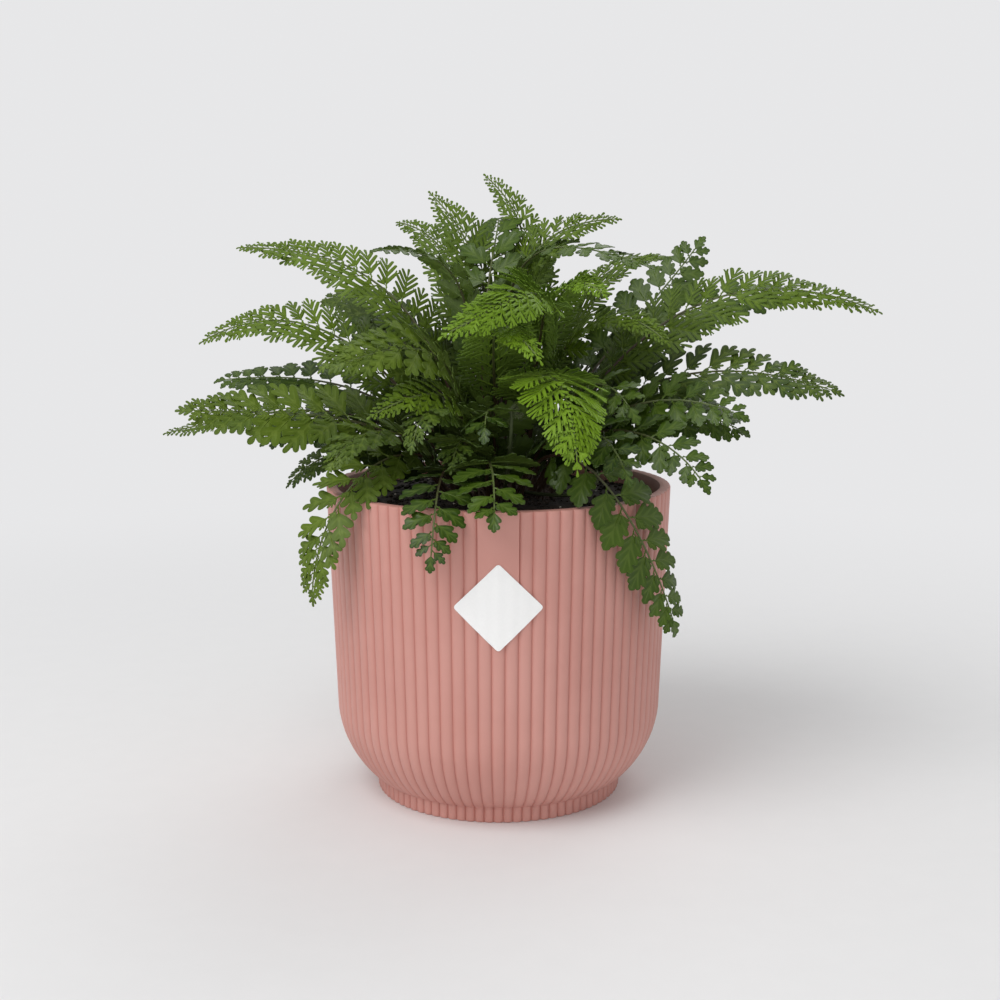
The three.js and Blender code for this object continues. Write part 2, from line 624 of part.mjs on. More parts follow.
// Try bends, then shorter leaflets, until one touches nothing; otherwise the place stays bare
function clearLeaflet(frond, frame, right, draws, [rear, front], obstacles, own) {
  for (const stretch of LENGTHS) {
    for (const bend of BENDS) {
      const leaflet = leafletAt(frond, frame, right, { bend, stretch }, draws);
      const guard = leafletGuard(leaflet, rear, front, right, CLEARANCE);
      if (obstacles.hit(guard, frond.name)) continue;
      const slim = solidOf(leafletGuard(leaflet, rear, front, right, SLIM).geometry());
      if (own.some((other) => meet(slim, other))) continue;
      own.push(slim);
      obstacles.addSolid(frond.name, slim);
      return leaflet;
    }
  }
  return null;
}

// Whether two solids share more than a common corner or edge
function meet(first, second) {
  const common = first.intersect(second);
  const share = common.isEmpty() ? 0 : Math.abs(common.volume());
  common.delete();
  return share > SLIVER;
}

// The leaflet at the very tip closes the end of the stalk
function growTip(shell, frond, frame, ring) {
  const size = frond.leaflet * 0.42;
  const corner = (a, b, rise = 0) =>
    frame.at
      .clone()
      .addScaledVector(frame.along, a * size)
      .addScaledVector(frame.side, b * size)
      .addScaledVector(frame.lift, rise);
  const teeth = [[0.4, 0.3], [1, 0], [0.4, -0.3]].map(([a, b]) => shell.point(corner(a, b)));
  const top = shell.point(corner(0.35, 0, BLADE_THICKNESS / 2));
  const base = shell.point(corner(0.35, 0, -BLADE_THICKNESS / 2));
  const [left, right, keel] = ring;
  shell.fan(top, [right, ...teeth, left, right]);
  shell.fan(base, [right, keel, left, ...teeth.reverse(), right]);
}

// The tip leaflet by itself, closed behind, as something to keep clear of
function tipGuard({ frond, frames, sections }) {
  const shell = new Shell();
  const ring = sections.at(-1).map((corner) => shell.point(corner.clone()));
  shell.face(ring[0], ring[2], ring[1]);
  growTip(shell, frond, frames.at(-1), ring);
  return shell;
}

// A hole in the crown round the foot of a stalk
function socket({ sections, frames }) {
  const [buried, foot, above] = sections;
  const deeper = buried.map((corner) => corner.clone().addScaledVector(frames[0].along, -GAP));
  return solidOf(stalkGuard([deeper, foot, above], SOCKET_SWELL).geometry());
}

// ---------------------------------------------------------------- croziers

// A young frond: a short stalk that ends in a coil, in the upright plane of its heading
function crozierSections([, seatRadius, angle, reach, height, coil]) {
  const outward = polar(1, angle);
  const side = outward.clone().cross(UP);
  const from = polar(seatRadius, angle, SEAT_HEIGHT);
  const neck = polar(reach, angle, height);
  const below = neck.clone().addScaledVector(UP, -6 - 0.4 * (height - SEAT_HEIGHT));
  const stalk = new THREE.QuadraticBezierCurve3(from, below, neck);
  const places = [];
  for (let i = 0; i < CROZIER_STEPS; i += 1) {
    const share = i / CROZIER_STEPS;
    places.push({ at: stalk.getPoint(share), along: stalk.getTangent(share), width: 2 - 0.3 * share });
  }
  const centre = neck.clone().addScaledVector(outward, -coil);
  for (let i = 0; i <= COIL_STEPS; i += 1) {
    const share = i / COIL_STEPS;
    const turn = share * COIL_TURNS * 2 * Math.PI;
    const radius = coil * (1 - 0.66 * share);
    const at = centre
      .clone()
      .addScaledVector(outward, radius * Math.cos(turn))
      .addScaledVector(UP, radius * Math.sin(turn));
    const along = mix(outward, -Math.sin(turn), UP, Math.cos(turn));
    places.push({ at, along, width: 1.7 - 0.8 * share });
  }
  const first = places[0];
  places.unshift({ ...first, at: first.at.clone().addScaledVector(first.along, -SEAT_DEPTH) });
  const sections = places.map(({ at, along, width }) =>
    sectionAt({ at, side, lift: side.clone().cross(along) }, width),
  );
  return { sections, frames: [{ along: first.along }] };
}

// ---------------------------------------------------------------- the whole plant

const fronds = FRONDS.map(skeletonOf);
const croziers = CROZIERS.map(crozierSections);
const obstacles = new Obstacles();
const solids = { pot: pot(), soil: soil(), crown: crown() };
for (const [name, geometry] of Object.entries(solids)) obstacles.addSolid(name, solidOf(geometry));
fronds.forEach((skeleton) => {
  obstacles.add(skeleton.frond.name, stalkGuard(skeleton.sections, CLEARANCE));
  obstacles.add(skeleton.frond.name, tipGuard(skeleton));
});
croziers.forEach(({ sections }, i) => obstacles.add(CROZIERS[i][0], stalkGuard(sections, CLEARANCE)));

const crownSolid = [...fronds, ...croziers].reduce(
  (body, skeleton) => body.subtract(socket(skeleton)),
  solidOf(solids.crown),
);

const group = new THREE.Group();
group.add(pieceOf("pot", solids.pot, COLOURS.pot, 0.55));
group.add(pieceOf("label", label(), COLOURS.label, 0.45));
group.add(pieceOf("soil", solids.soil, COLOURS.soil, 0.95));
group.add(pieceOf("crown", geometryOf(crownSolid), COLOURS.crown, 0.85));
fronds.forEach((skeleton) => {
  const { name, kind } = skeleton.frond;
  group.add(pieceOf(name, frondShell(skeleton, obstacles).geometry(), COLOURS[kind], 0.5));
});
croziers.forEach(({ sections }, i) => {
  const shell = stalkGuard(sections, 0);
  group.add(pieceOf(CROZIERS[i][0], shell.geometry(), COLOURS.crozier, 0.6));
});

export default group;
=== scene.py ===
# %% [markdown]
# # A small-leaved fern in a ribbed pot
# The plant is a bushy spleenwort. Wiry stalks rise from one crown, and each carries two rows of
# leaflets that are cut into fingers, lobes or shallow teeth. The rigid model already says where
# every frond goes and how long it is. Here each one is made again as a fine leaf in the same
# place, and the pot, the soil and the light are made to go with it.

import math
import random
from collections import namedtuple

import bmesh
import bpy
import numpy as np
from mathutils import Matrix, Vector, noise
from mathutils.bvhtree import BVHTree


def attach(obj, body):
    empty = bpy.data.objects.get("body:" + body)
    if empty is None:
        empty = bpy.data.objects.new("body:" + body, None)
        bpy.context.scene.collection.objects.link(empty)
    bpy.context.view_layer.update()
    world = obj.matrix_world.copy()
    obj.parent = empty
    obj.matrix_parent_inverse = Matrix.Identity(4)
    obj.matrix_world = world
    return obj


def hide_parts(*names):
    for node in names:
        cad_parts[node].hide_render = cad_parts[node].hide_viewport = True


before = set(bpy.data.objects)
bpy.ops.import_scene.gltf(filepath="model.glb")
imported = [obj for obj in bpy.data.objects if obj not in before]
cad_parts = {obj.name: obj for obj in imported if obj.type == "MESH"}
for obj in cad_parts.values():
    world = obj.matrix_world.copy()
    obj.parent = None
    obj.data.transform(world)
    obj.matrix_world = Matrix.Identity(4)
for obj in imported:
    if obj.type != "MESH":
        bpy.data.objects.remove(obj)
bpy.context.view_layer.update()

# %% [markdown]
# ## Writing materials as sums
# A shader is a graph of nodes, but most of it is arithmetic: this much of one colour, less where
# a mask is high. Wrapping a socket in a small class lets that arithmetic be written as it is
# read, and every operator adds one Math node. Any other node comes from one method, `node`.

# %% A socket that can be added and multiplied


def operator(operation, reflected=False):
    """A method that adds one Math node; the reflected form is for a number that comes first"""
    settings = {"operation": operation}

    def add_node(self, other):
        first, second = (other, self) if reflected else (self, other)
        return self.finish.node("Math", settings, {0: first, 1: second})

    return add_node


class Wire:
    """The output of a shader node, inside a finish"""

    def __init__(self, finish, socket):
        self.finish = finish
        self.socket = socket

    __add__ = __radd__ = operator("ADD")
    __mul__ = __rmul__ = operator("MULTIPLY")
    __sub__, __rsub__ = operator("SUBTRACT"), operator("SUBTRACT", reflected=True)
    __pow__, __rpow__ = operator("POWER"), operator("POWER", reflected=True)


# %% A finish: one material, its shader and the method that adds nodes


class Finish:
    """A material under construction. Values that are even all over are set on the shader."""

    def __init__(self, name, colour, roughness, specular=0.5):
        self.material = bpy.data.materials.new(name)
        self.material.use_nodes = True
        self.material.diffuse_color = (*colour, 1)
        self.tree = self.material.node_tree
        self.shader = self.tree.nodes["Principled BSDF"]
        self.shader.inputs["Base Color"].default_value = (*colour, 1)
        self.shader.inputs["Roughness"].default_value = roughness
        self.shader.inputs["Specular IOR Level"].default_value = specular

    def node(self, kind, settings=None, inputs=None, output=0):
        """Any node: its kind, its settings, and what goes into its sockets"""
        node = self.tree.nodes.new("ShaderNode" + kind)
        for name, value in (settings or {}).items():
            setattr(node, name, value)
        for name, value in (inputs or {}).items():
            self.feed(node.inputs[name], value)
        return Wire(self, node.outputs[output])

    def feed(self, socket, value):
        """Link a wire to a socket, or set a plain value there"""
        if isinstance(value, Wire):
            self.tree.links.new(value.socket, socket)
        else:
            socket.default_value = value

    def mix(self, first, second, factor):
        """One colour turning into another as the factor goes from 0 to 1"""
        settings = {"data_type": "RGBA", "clamp_factor": True}
        inputs = {0: factor, 6: opaque(first), 7: opaque(second)}
        return self.node("Mix", settings, inputs, output=2)

    def noise(self, scale, detail=3.0):
        """Cloudy values from 0 to 1; the scale is in clouds per metre"""
        inputs = {"Vector": self.place(), "Scale": scale, "Detail": detail}
        return self.node("TexNoise", None, inputs)

    def place(self):
        """Where the shaded point is, in metres"""
        return self.node("NewGeometry", None, None, output="Position")

    def mark(self, name):
        """A value that was painted on the mesh"""
        return self.node("Attribute", {"attribute_name": name}, None, output="Fac")

    def step(self, value, low, high):
        """0 below low, 1 above high, a smooth rise between"""
        settings = {"interpolation_type": "SMOOTHSTEP"}
        inputs = {"Value": value, "From Min": low, "From Max": high}
        return self.node("MapRange", settings, inputs)

    def finish(self, colour=None, roughness=None, height=None, depth=0.0002):
        """Send what varies to the shader; the height makes bumps this deep, in metres"""
        if height is not None:
            inputs = {"Height": height, "Distance": depth, "Strength": 1.0}
            height = self.node("Bump", None, inputs)
        for name, value in (("Base Color", colour), ("Roughness", roughness), ("Normal", height)):
            if value is not None:
                self.feed(self.shader.inputs[name], value)
        return self.material


def opaque(colour):
    """A colour with its alpha, where it is a plain tuple"""
    return (*colour, 1.0) if isinstance(colour, tuple) and len(colour) == 3 else colour


# %% [markdown]
# ## Growing a mesh
# Leaves, stalks and the pot are all made point by point, because their shapes follow formulas
# that no primitive has. `Shape` is the list that they grow in. Its sizes are in millimetres, as a
# gardener would measure them, and `make_piece` turns them into metres, Blender's unit here.
# Each point can also carry marks, such as how near it is to a vein, for the finishes to read.

# %% A shape that grows
MM = 0.001


class Shape:
    """Points in millimetres, faces, and marks painted on the points"""

    def __init__(self, *marks):
        self.points = []
        self.faces = []
        self.finishes = []
        self.marks = {mark: [] for mark in marks}

    def point(self, place, **marks):
        self.points.append(tuple(place))
        for mark, values in self.marks.items():
            values.append(marks.get(mark, 0.0))
        return len(self.points) - 1

    def face(self, *corners, finish=0):
        self.faces.append(corners)
        self.finishes.append(finish)

    def band(self, low, high, finish=0):
        """Quads between two closed rings with as many points each"""
        for i, corner in enumerate(low):
            follow = (i + 1) % len(low)
            self.face(corner, low[follow], high[follow], high[i], finish=finish)

    def fan(self, centre, ring):
        """Triangles from one point to a closed ring"""
        for i, corner in enumerate(ring):
            self.face(centre, corner, ring[(i + 1) % len(ring)])

    def ring(self, radius, height, sides, start=0.0):
        """Points round the upright axis, all at one height"""
        places = [polar(radius, start + 360 * i / sides, height) for i in range(sides)]
        return [self.point(place) for place in places]

    def blend_in(self, places, faces, **marks):
        """Add many points at once, with a list or one value for each mark"""
        first = len(self.points)
        self.points.extend(map(tuple, places))
        for mark, values in self.marks.items():
            given = marks.get(mark, 0.0)
            values.extend(given if hasattr(given, "__len__") else [given] * len(places))
        self.faces.extend(tuple(first + corner for corner in face) for face in faces)
        self.finishes.extend([0] * len(faces))


# %% From a shape to a piece of the model


def make_piece(name, shape, finishes, nodes, crease=40):
    """One object from a shape: it rides on the frame and stands for the rigid nodes"""
    mesh = bpy.data.meshes.new(name)
    mesh.from_pydata(np.array(shape.points) * MM, [], shape.faces)
    for mark, values in shape.marks.items():
        mesh.attributes.new(mark, "FLOAT", "POINT").data.foreach_set("value", values)
    for material in finishes:
        mesh.materials.append(material)
    mesh.polygons.foreach_set("material_index", shape.finishes)
    grown = bmesh.new()
    grown.from_mesh(mesh)
    bmesh.ops.recalc_face_normals(grown, faces=grown.faces)
    grown.to_mesh(mesh)
    grown.free()
    mesh.shade_smooth()
    mesh.set_sharp_from_angle(angle=math.radians(crease))
    piece = bpy.data.objects.new(name, mesh)
    bpy.context.collection.objects.link(piece)
    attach(piece, "root")
    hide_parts(*nodes)
    return piece


# %% Places and shares


def polar(radius, angle, height=0.0):
    """A place from its distance, its heading in degrees and its height"""
    turn = math.radians(angle)
    return Vector((radius * math.cos(turn), radius * math.sin(turn), height))


def lerp(low, high, share):
    """From low to high as the share goes from 0 to 1"""
    return low + (high - low) * share


def smooth(value, low, high):
    """0 below low, 1 above high, a smooth rise between"""
    share = min(max((value - low) / (high - low), 0.0), 1.0)
    return share * share * (3 - 2 * share)


# %% [markdown]
# ## The pot
# The real pot is moulded plastic with 84 upright reeds: rounded ridges that meet in narrow
# grooves. It tapers a little towards a round belly and stands on a small foot. A lathe would give
# the outline but not the reeds, so the outline is a formula of the height and each ring of points
# dips into the grooves. Above the label three grooves fade out into a smooth strip.

# %% The outline of the pot
POT_HEIGHT = 167.0
RIM_RADIUS = 92.3
WALL_FOOT_RADIUS = 88.0
BELLY_TOP = 50.0
BELLY_ROUNDNESS = 0.82
FOOT_RADIUS = 66.6
FOOT_HEIGHT = 8.0


def crest_radius(height):
    """How far the crests of the reeds are from the axis"""
    if height >= BELLY_TOP:
        share = (height - BELLY_TOP) / (POT_HEIGHT - BELLY_TOP)
        return lerp(WALL_FOOT_RADIUS, RIM_RADIUS, share)
    share = max(height - FOOT_HEIGHT, 0) / (BELLY_TOP - FOOT_HEIGHT)
    swell = (1 - (1 - share) ** 2) ** BELLY_ROUNDNESS
    return lerp(FOOT_RADIUS, WALL_FOOT_RADIUS, swell)


print("widest across the crests:", 2 * crest_radius(POT_HEIGHT), "mm")

# %% The reeds
REEDS = 84
REED_DEPTH = 1.15
REED_ROUNDNESS = 2.7
REED_PLACES = [0, 0.03, 0.09, 0.2, 0.35, 0.5, 0.65, 0.8, 0.91, 0.97]
STRIP_REEDS = 3
STRIP_LOW, STRIP_HIGH = 112.0, 126.0
FRONT = -90


def reed_dip(place):
    """How deep the surface lies at a place across a reed: 1 in the groove, 0 on the crest"""
    return abs(2 * place - 1) ** REED_ROUNDNESS


def reeded_ring(shape, height, inset=0.0, softness=1.0):
    """Points round the pot at one height, dipping into the grooves"""
    crest = crest_radius(height) - inset
    strip = smooth(height, STRIP_LOW, STRIP_HIGH)
    ring = []
    for reed in range(REEDS):
        offset = reed - REEDS if reed > REEDS / 2 else reed
        for place in REED_PLACES:
            turn = (reed + place - 0.5) / REEDS
            in_strip = abs(offset + place - 0.5) < STRIP_REEDS / 2 - 0.02
            dip = reed_dip(place) * softness * (1 - strip if in_strip else 1)
            where = polar(crest - REED_DEPTH * dip, FRONT + 360 * turn, height)
            ring.append(shape.point(where, groove=dip))
    return ring


print(f"one reed at the rim is {2 * math.pi * RIM_RADIUS / REEDS:.1f} mm wide")

# %% The whole wall: up the outside, over the rim and down the inside
WALL = 5.9
FLOOR = 8.0
EDGE = 0.9
SOIL_TOP = 159.0
OUTSIDE = [EDGE, 3.0, 5.5, 7.2, 8.0, 8.8, 10, 12, 14.5, 17, 20, 23, 26, 30, 34, 38, 42, 46, 50]
OUTSIDE += [60, 72, 85, 98, 106, 110, 112, 114, 116, 118, 120, 122, 124, 126, 130, 140, 150]
OUTSIDE += [158, 163, POT_HEIGHT - EDGE]
INSIDE = [120, BELLY_TOP, 26, 14]


def pot_shape():
    shape = Shape("groove")
    near = EDGE * 0.3
    rings = [reeded_ring(shape, 0, EDGE), reeded_ring(shape, near, near)]
    rings += [reeded_ring(shape, height) for height in OUTSIDE]
    rings += [reeded_ring(shape, POT_HEIGHT - near, near, softness=0.9)]
    rings += [reeded_ring(shape, POT_HEIGHT, EDGE, softness=0.7)]
    bore = RIM_RADIUS - WALL
    inside = [(bore + EDGE, POT_HEIGHT), (bore + near, POT_HEIGHT - near)]
    inside += [(bore, POT_HEIGHT - EDGE)]
    inside += [(crest_radius(height) - WALL, height) for height in [SOIL_TOP, *INSIDE]]
    inside += [(FOOT_RADIUS - WALL, FLOOR)]
    sides, start = len(rings[0]), FRONT - 180 / REEDS
    rings += [shape.ring(radius, height, sides, start) for radius, height in inside]
    for low, high in zip(rings, rings[1:]):
        shape.band(low, high)
    shape.fan(shape.point((0, 0, FLOOR)), rings[-1])
    shape.fan(shape.point((0, 0, 0)), rings[0])
    return shape


# %% [markdown]
# The plastic is dyed through, dusty pink and dull. What makes it read as moulded plastic is
# small: a fine grain that spreads the highlight and clouds in the dye that are barely there.
# Down in the grooves a deeper, redder colour is painted in as shade, for the light that goes
# from wall to wall there.

# %% The pot's plastic


def dusty_plastic():
    finish = Finish("dusty_pink_plastic", (0.6, 0.3, 0.25), 0.5)
    cloud = finish.noise(18, detail=4)
    grain = finish.noise(2600, detail=2)
    dye = finish.mix((0.585, 0.272, 0.228), (0.64, 0.315, 0.268), finish.step(cloud, 0.3, 0.7))
    # Painted shade: down in the grooves the colour is painted a darker, redder pink, for the shade
    # and the light bounced from wall to wall there.
    colour = finish.mix(dye, (0.46, 0.16, 0.125), finish.mark("groove") ** 2 * 0.55)
    return finish.finish(colour, roughness=0.44 + 0.12 * grain, height=grain, depth=0.00006)


pot = make_piece("ribbed_pot", pot_shape(), [dusty_plastic()], ["pot"])
print("pot:", len(pot.data.polygons), "faces")

# %% [markdown]
# ## The label
# A small square of coated card, plain white, stands on one corner at the front. It lies on the
# crests of the reeds, so it is bent round the pot and sinks a hair between two crests, as damp
# card does. A flat square can't do that, so it is a grid that is laid round the pot.

# %% The blank label
LABEL_SIDE = 31.5
LABEL_HEIGHT = 119.5
LABEL_LIFT = 0.35
LABEL_THICKNESS = 0.3
LABEL_SAG = 0.06
LABEL_CORNER = 1.6
LABEL_CELLS = 48


def label_place(u, v, lift):
    """A place of the flat square, turned by 45 degrees and laid round the pot"""
    across = (u - v) / math.sqrt(2)
    height = LABEL_HEIGHT + (u + v) / math.sqrt(2)
    crest = crest_radius(height)
    sag = LABEL_SAG * math.cos(across / crest * REEDS)
    return polar(crest + LABEL_LIFT + lift + sag, FRONT + math.degrees(across / crest), height)


def label_shape():
    """Two grids of points, one before the other, and a band round their edges"""
    shape = Shape()
    last, width = LABEL_CELLS, LABEL_CELLS + 1
    half = LABEL_SIDE / 2
    steps = [lerp(-half, half, i / last) for i in range(width)]
    flat = [rounded(u, v, half, LABEL_CORNER) for u in steps for v in steps]
    edge = [(0, i) for i in range(last)] + [(i, last) for i in range(last)]
    edge += [(last, last - i) for i in range(last)] + [(last - i, 0) for i in range(last)]
    edges = []
    for lift in (0.0, LABEL_THICKNESS):
        grid = [shape.point(label_place(u, v, lift)) for u, v in flat]
        for at in [row * width + column for row in range(last) for column in range(last)]:
            shape.face(grid[at], grid[at + 1], grid[at + width + 1], grid[at + width])
        edges.append([grid[row * width + column] for row, column in edge])
    shape.band(*edges)
    return shape


def rounded(u, v, half, corner):
    """Pull a point of a square in, so that its corners become round"""
    inner = half - corner
    over_u, over_v = max(abs(u) - inner, 0), max(abs(v) - inner, 0)
    reach = math.hypot(over_u, over_v)
    if reach == 0 or min(over_u, over_v) == 0:
        return u, v
    shrink = max(over_u, over_v) / reach
    return (
        math.copysign(inner + over_u * shrink, u),
        math.copysign(inner + over_v * shrink, v),
    )


def coated_card():
    finish = Finish("coated_white_card", (0.95, 0.95, 0.94), 0.35)
    fibre = finish.noise(900, detail=3)
    colour = finish.mix((0.93, 0.93, 0.92), (0.98, 0.98, 0.97), fibre)
    return finish.finish(colour, roughness=0.3 + 0.16 * fibre, height=fibre, depth=0.00002)


label = make_piece("blank_label", label_shape(), [coated_card()], ["label"])
print("label:", [round(size / MM, 1) for size in label.dimensions], "mm")

# %% [markdown]
# ## The soil
# Potting peat is a heap of dark crumbs with a few pale grains of perlite. A noise texture alone
# would look like felt, so the top is a grid pushed up and down by noise, with loose crumbs
# sunk into it. One formula places both, and the draw is seeded, so the heap is always the same.

# %% A heap: rings on a bumpy top, and rings down its side
CROWN_RADIUS = 35.0
SOIL_MOUND = 3.0
SOIL_SINK = 0.4
SOIL_GAP = 0.6


def soil_height(x, y):
    """The top of the soil: a low mound with lumps of three sizes"""
    radius = math.hypot(x, y)
    mound = SOIL_MOUND * (1 - smooth(radius, CROWN_RADIUS - 6, 84))
    lumps = 1.1 * noise.noise(Vector((x, y, 3)) * 0.07)
    lumps += 0.8 * noise.noise(Vector((x, y, 7)) * 0.21)
    lumps += 0.45 * noise.noise(Vector((x, y, 11)) * 0.55)
    return SOIL_TOP - SOIL_SINK + mound + lumps * (1 - 0.6 * smooth(radius, 76, 86))


def add_heap(shape, radii, sides, height_at, side, tone):
    """A closed heap: its top follows a function of x and y, its side is a list of rings"""
    rings = []
    for radius in radii:
        places = [polar(radius, 360 * i / sides) for i in range(sides)]
        top = [(place.x, place.y, height_at(place.x, place.y)) for place in places]
        rings.append([shape.point(place, tone=tone) for place in top])
    rings += [shape.ring(radius, height, sides) for radius, height in side]
    for inner, outer in zip(rings, rings[1:]):
        shape.band(inner, outer)
    shape.fan(shape.point((0, 0, height_at(0, 0)), tone=tone), rings[0])
    shape.fan(shape.point((0, 0, side[-1][1])), rings[-1])


print(f"in the middle the soil is {soil_height(0, 0):.1f} mm high")

# %% The soil and its crumbs
SOIL_RINGS, SOIL_SIDES = 60, 168
CRUMBS = 900
CRUMB_FROM, CRUMB_TO = 24, 84
PERLITE_EVERY = 14


def add_crumb(shape, ball, centre, size, draw, speck):
    """A lump with a few flat sides: a small ball whose points are pulled about"""
    places = []
    for direction in ball[0]:
        squash = Vector((direction.x, direction.y, direction.z * 0.72))
        places.append(centre + squash * (size * draw.uniform(0.62, 1.12)))
    shape.blend_in(places, ball[1], speck=speck, tone=draw.random())


def crumb_ball():
    """The points and faces of a small ball"""
    ball = bmesh.new()
    bmesh.ops.create_icosphere(ball, subdivisions=1, radius=1)
    points = [vertex.co.copy() for vertex in ball.verts]
    faces = [[vertex.index for vertex in face.verts] for face in ball.faces]
    ball.free()
    return points, faces


def soil_shape():
    shape = Shape("speck", "tone")
    edge = crest_radius(SOIL_TOP) - WALL - SOIL_GAP
    radii = [edge * (step / SOIL_RINGS) ** 0.85 for step in range(1, SOIL_RINGS + 1)]
    side = [(crest_radius(height) - WALL - SOIL_GAP, height) for height in INSIDE]
    side.append((FOOT_RADIUS - WALL - SOIL_GAP, FLOOR + 0.3))
    add_heap(shape, radii, SOIL_SIDES, soil_height, side, tone=0.4)
    draw = random.Random(5)
    ball = crumb_ball()
    for i in range(CRUMBS):
        radius = math.sqrt(draw.uniform(CRUMB_FROM**2, CRUMB_TO**2))
        place = polar(radius, draw.uniform(0, 360))
        speck = 1.0 if i % PERLITE_EVERY == 0 else 0.0
        size = draw.uniform(0.45, 0.85) if speck else draw.uniform(0.6, 1.9)
        centre = Vector((place.x, place.y, soil_height(place.x, place.y) + size * 0.25))
        add_crumb(shape, ball, centre, size, draw, speck)
    return shape


# %% The peat


def peat():
    finish = Finish("dark_peat", (0.012, 0.008, 0.006), 0.85)
    grain = finish.noise(1400, detail=4)
    clump = finish.noise(160, detail=3)
    dark = finish.mix((0.004, 0.0028, 0.0022), (0.03, 0.018, 0.011), finish.step(clump, 0.4, 0.75))
    crumb = finish.mix(dark, (0.045, 0.026, 0.016), finish.mark("tone") * grain)
    colour = finish.mix(crumb, (0.62, 0.58, 0.5), finish.mark("speck"))
    return finish.finish(colour, roughness=0.7 + 0.3 * grain, height=grain, depth=0.0004)


soil = make_piece("potting_soil", soil_shape(), [peat()], ["soil"], crease=60)
print("soil:", len(soil.data.polygons), "faces,", CRUMBS, "crumbs")

# %% [markdown]
# ## How a frond is laid out
# A frond is a curve before it is a leaf. It leaves the crown steeply, and it lands at its tip
# flat or hanging, so a cubic curve with those two slopes is enough. The numbers below are those
# of the rigid model, and so the fine frond runs through the middle of the plain one; only four
# fronds at the front have leaflets a few millimetres longer. A table is easier to read and to
# change than fifty curves drawn by hand.

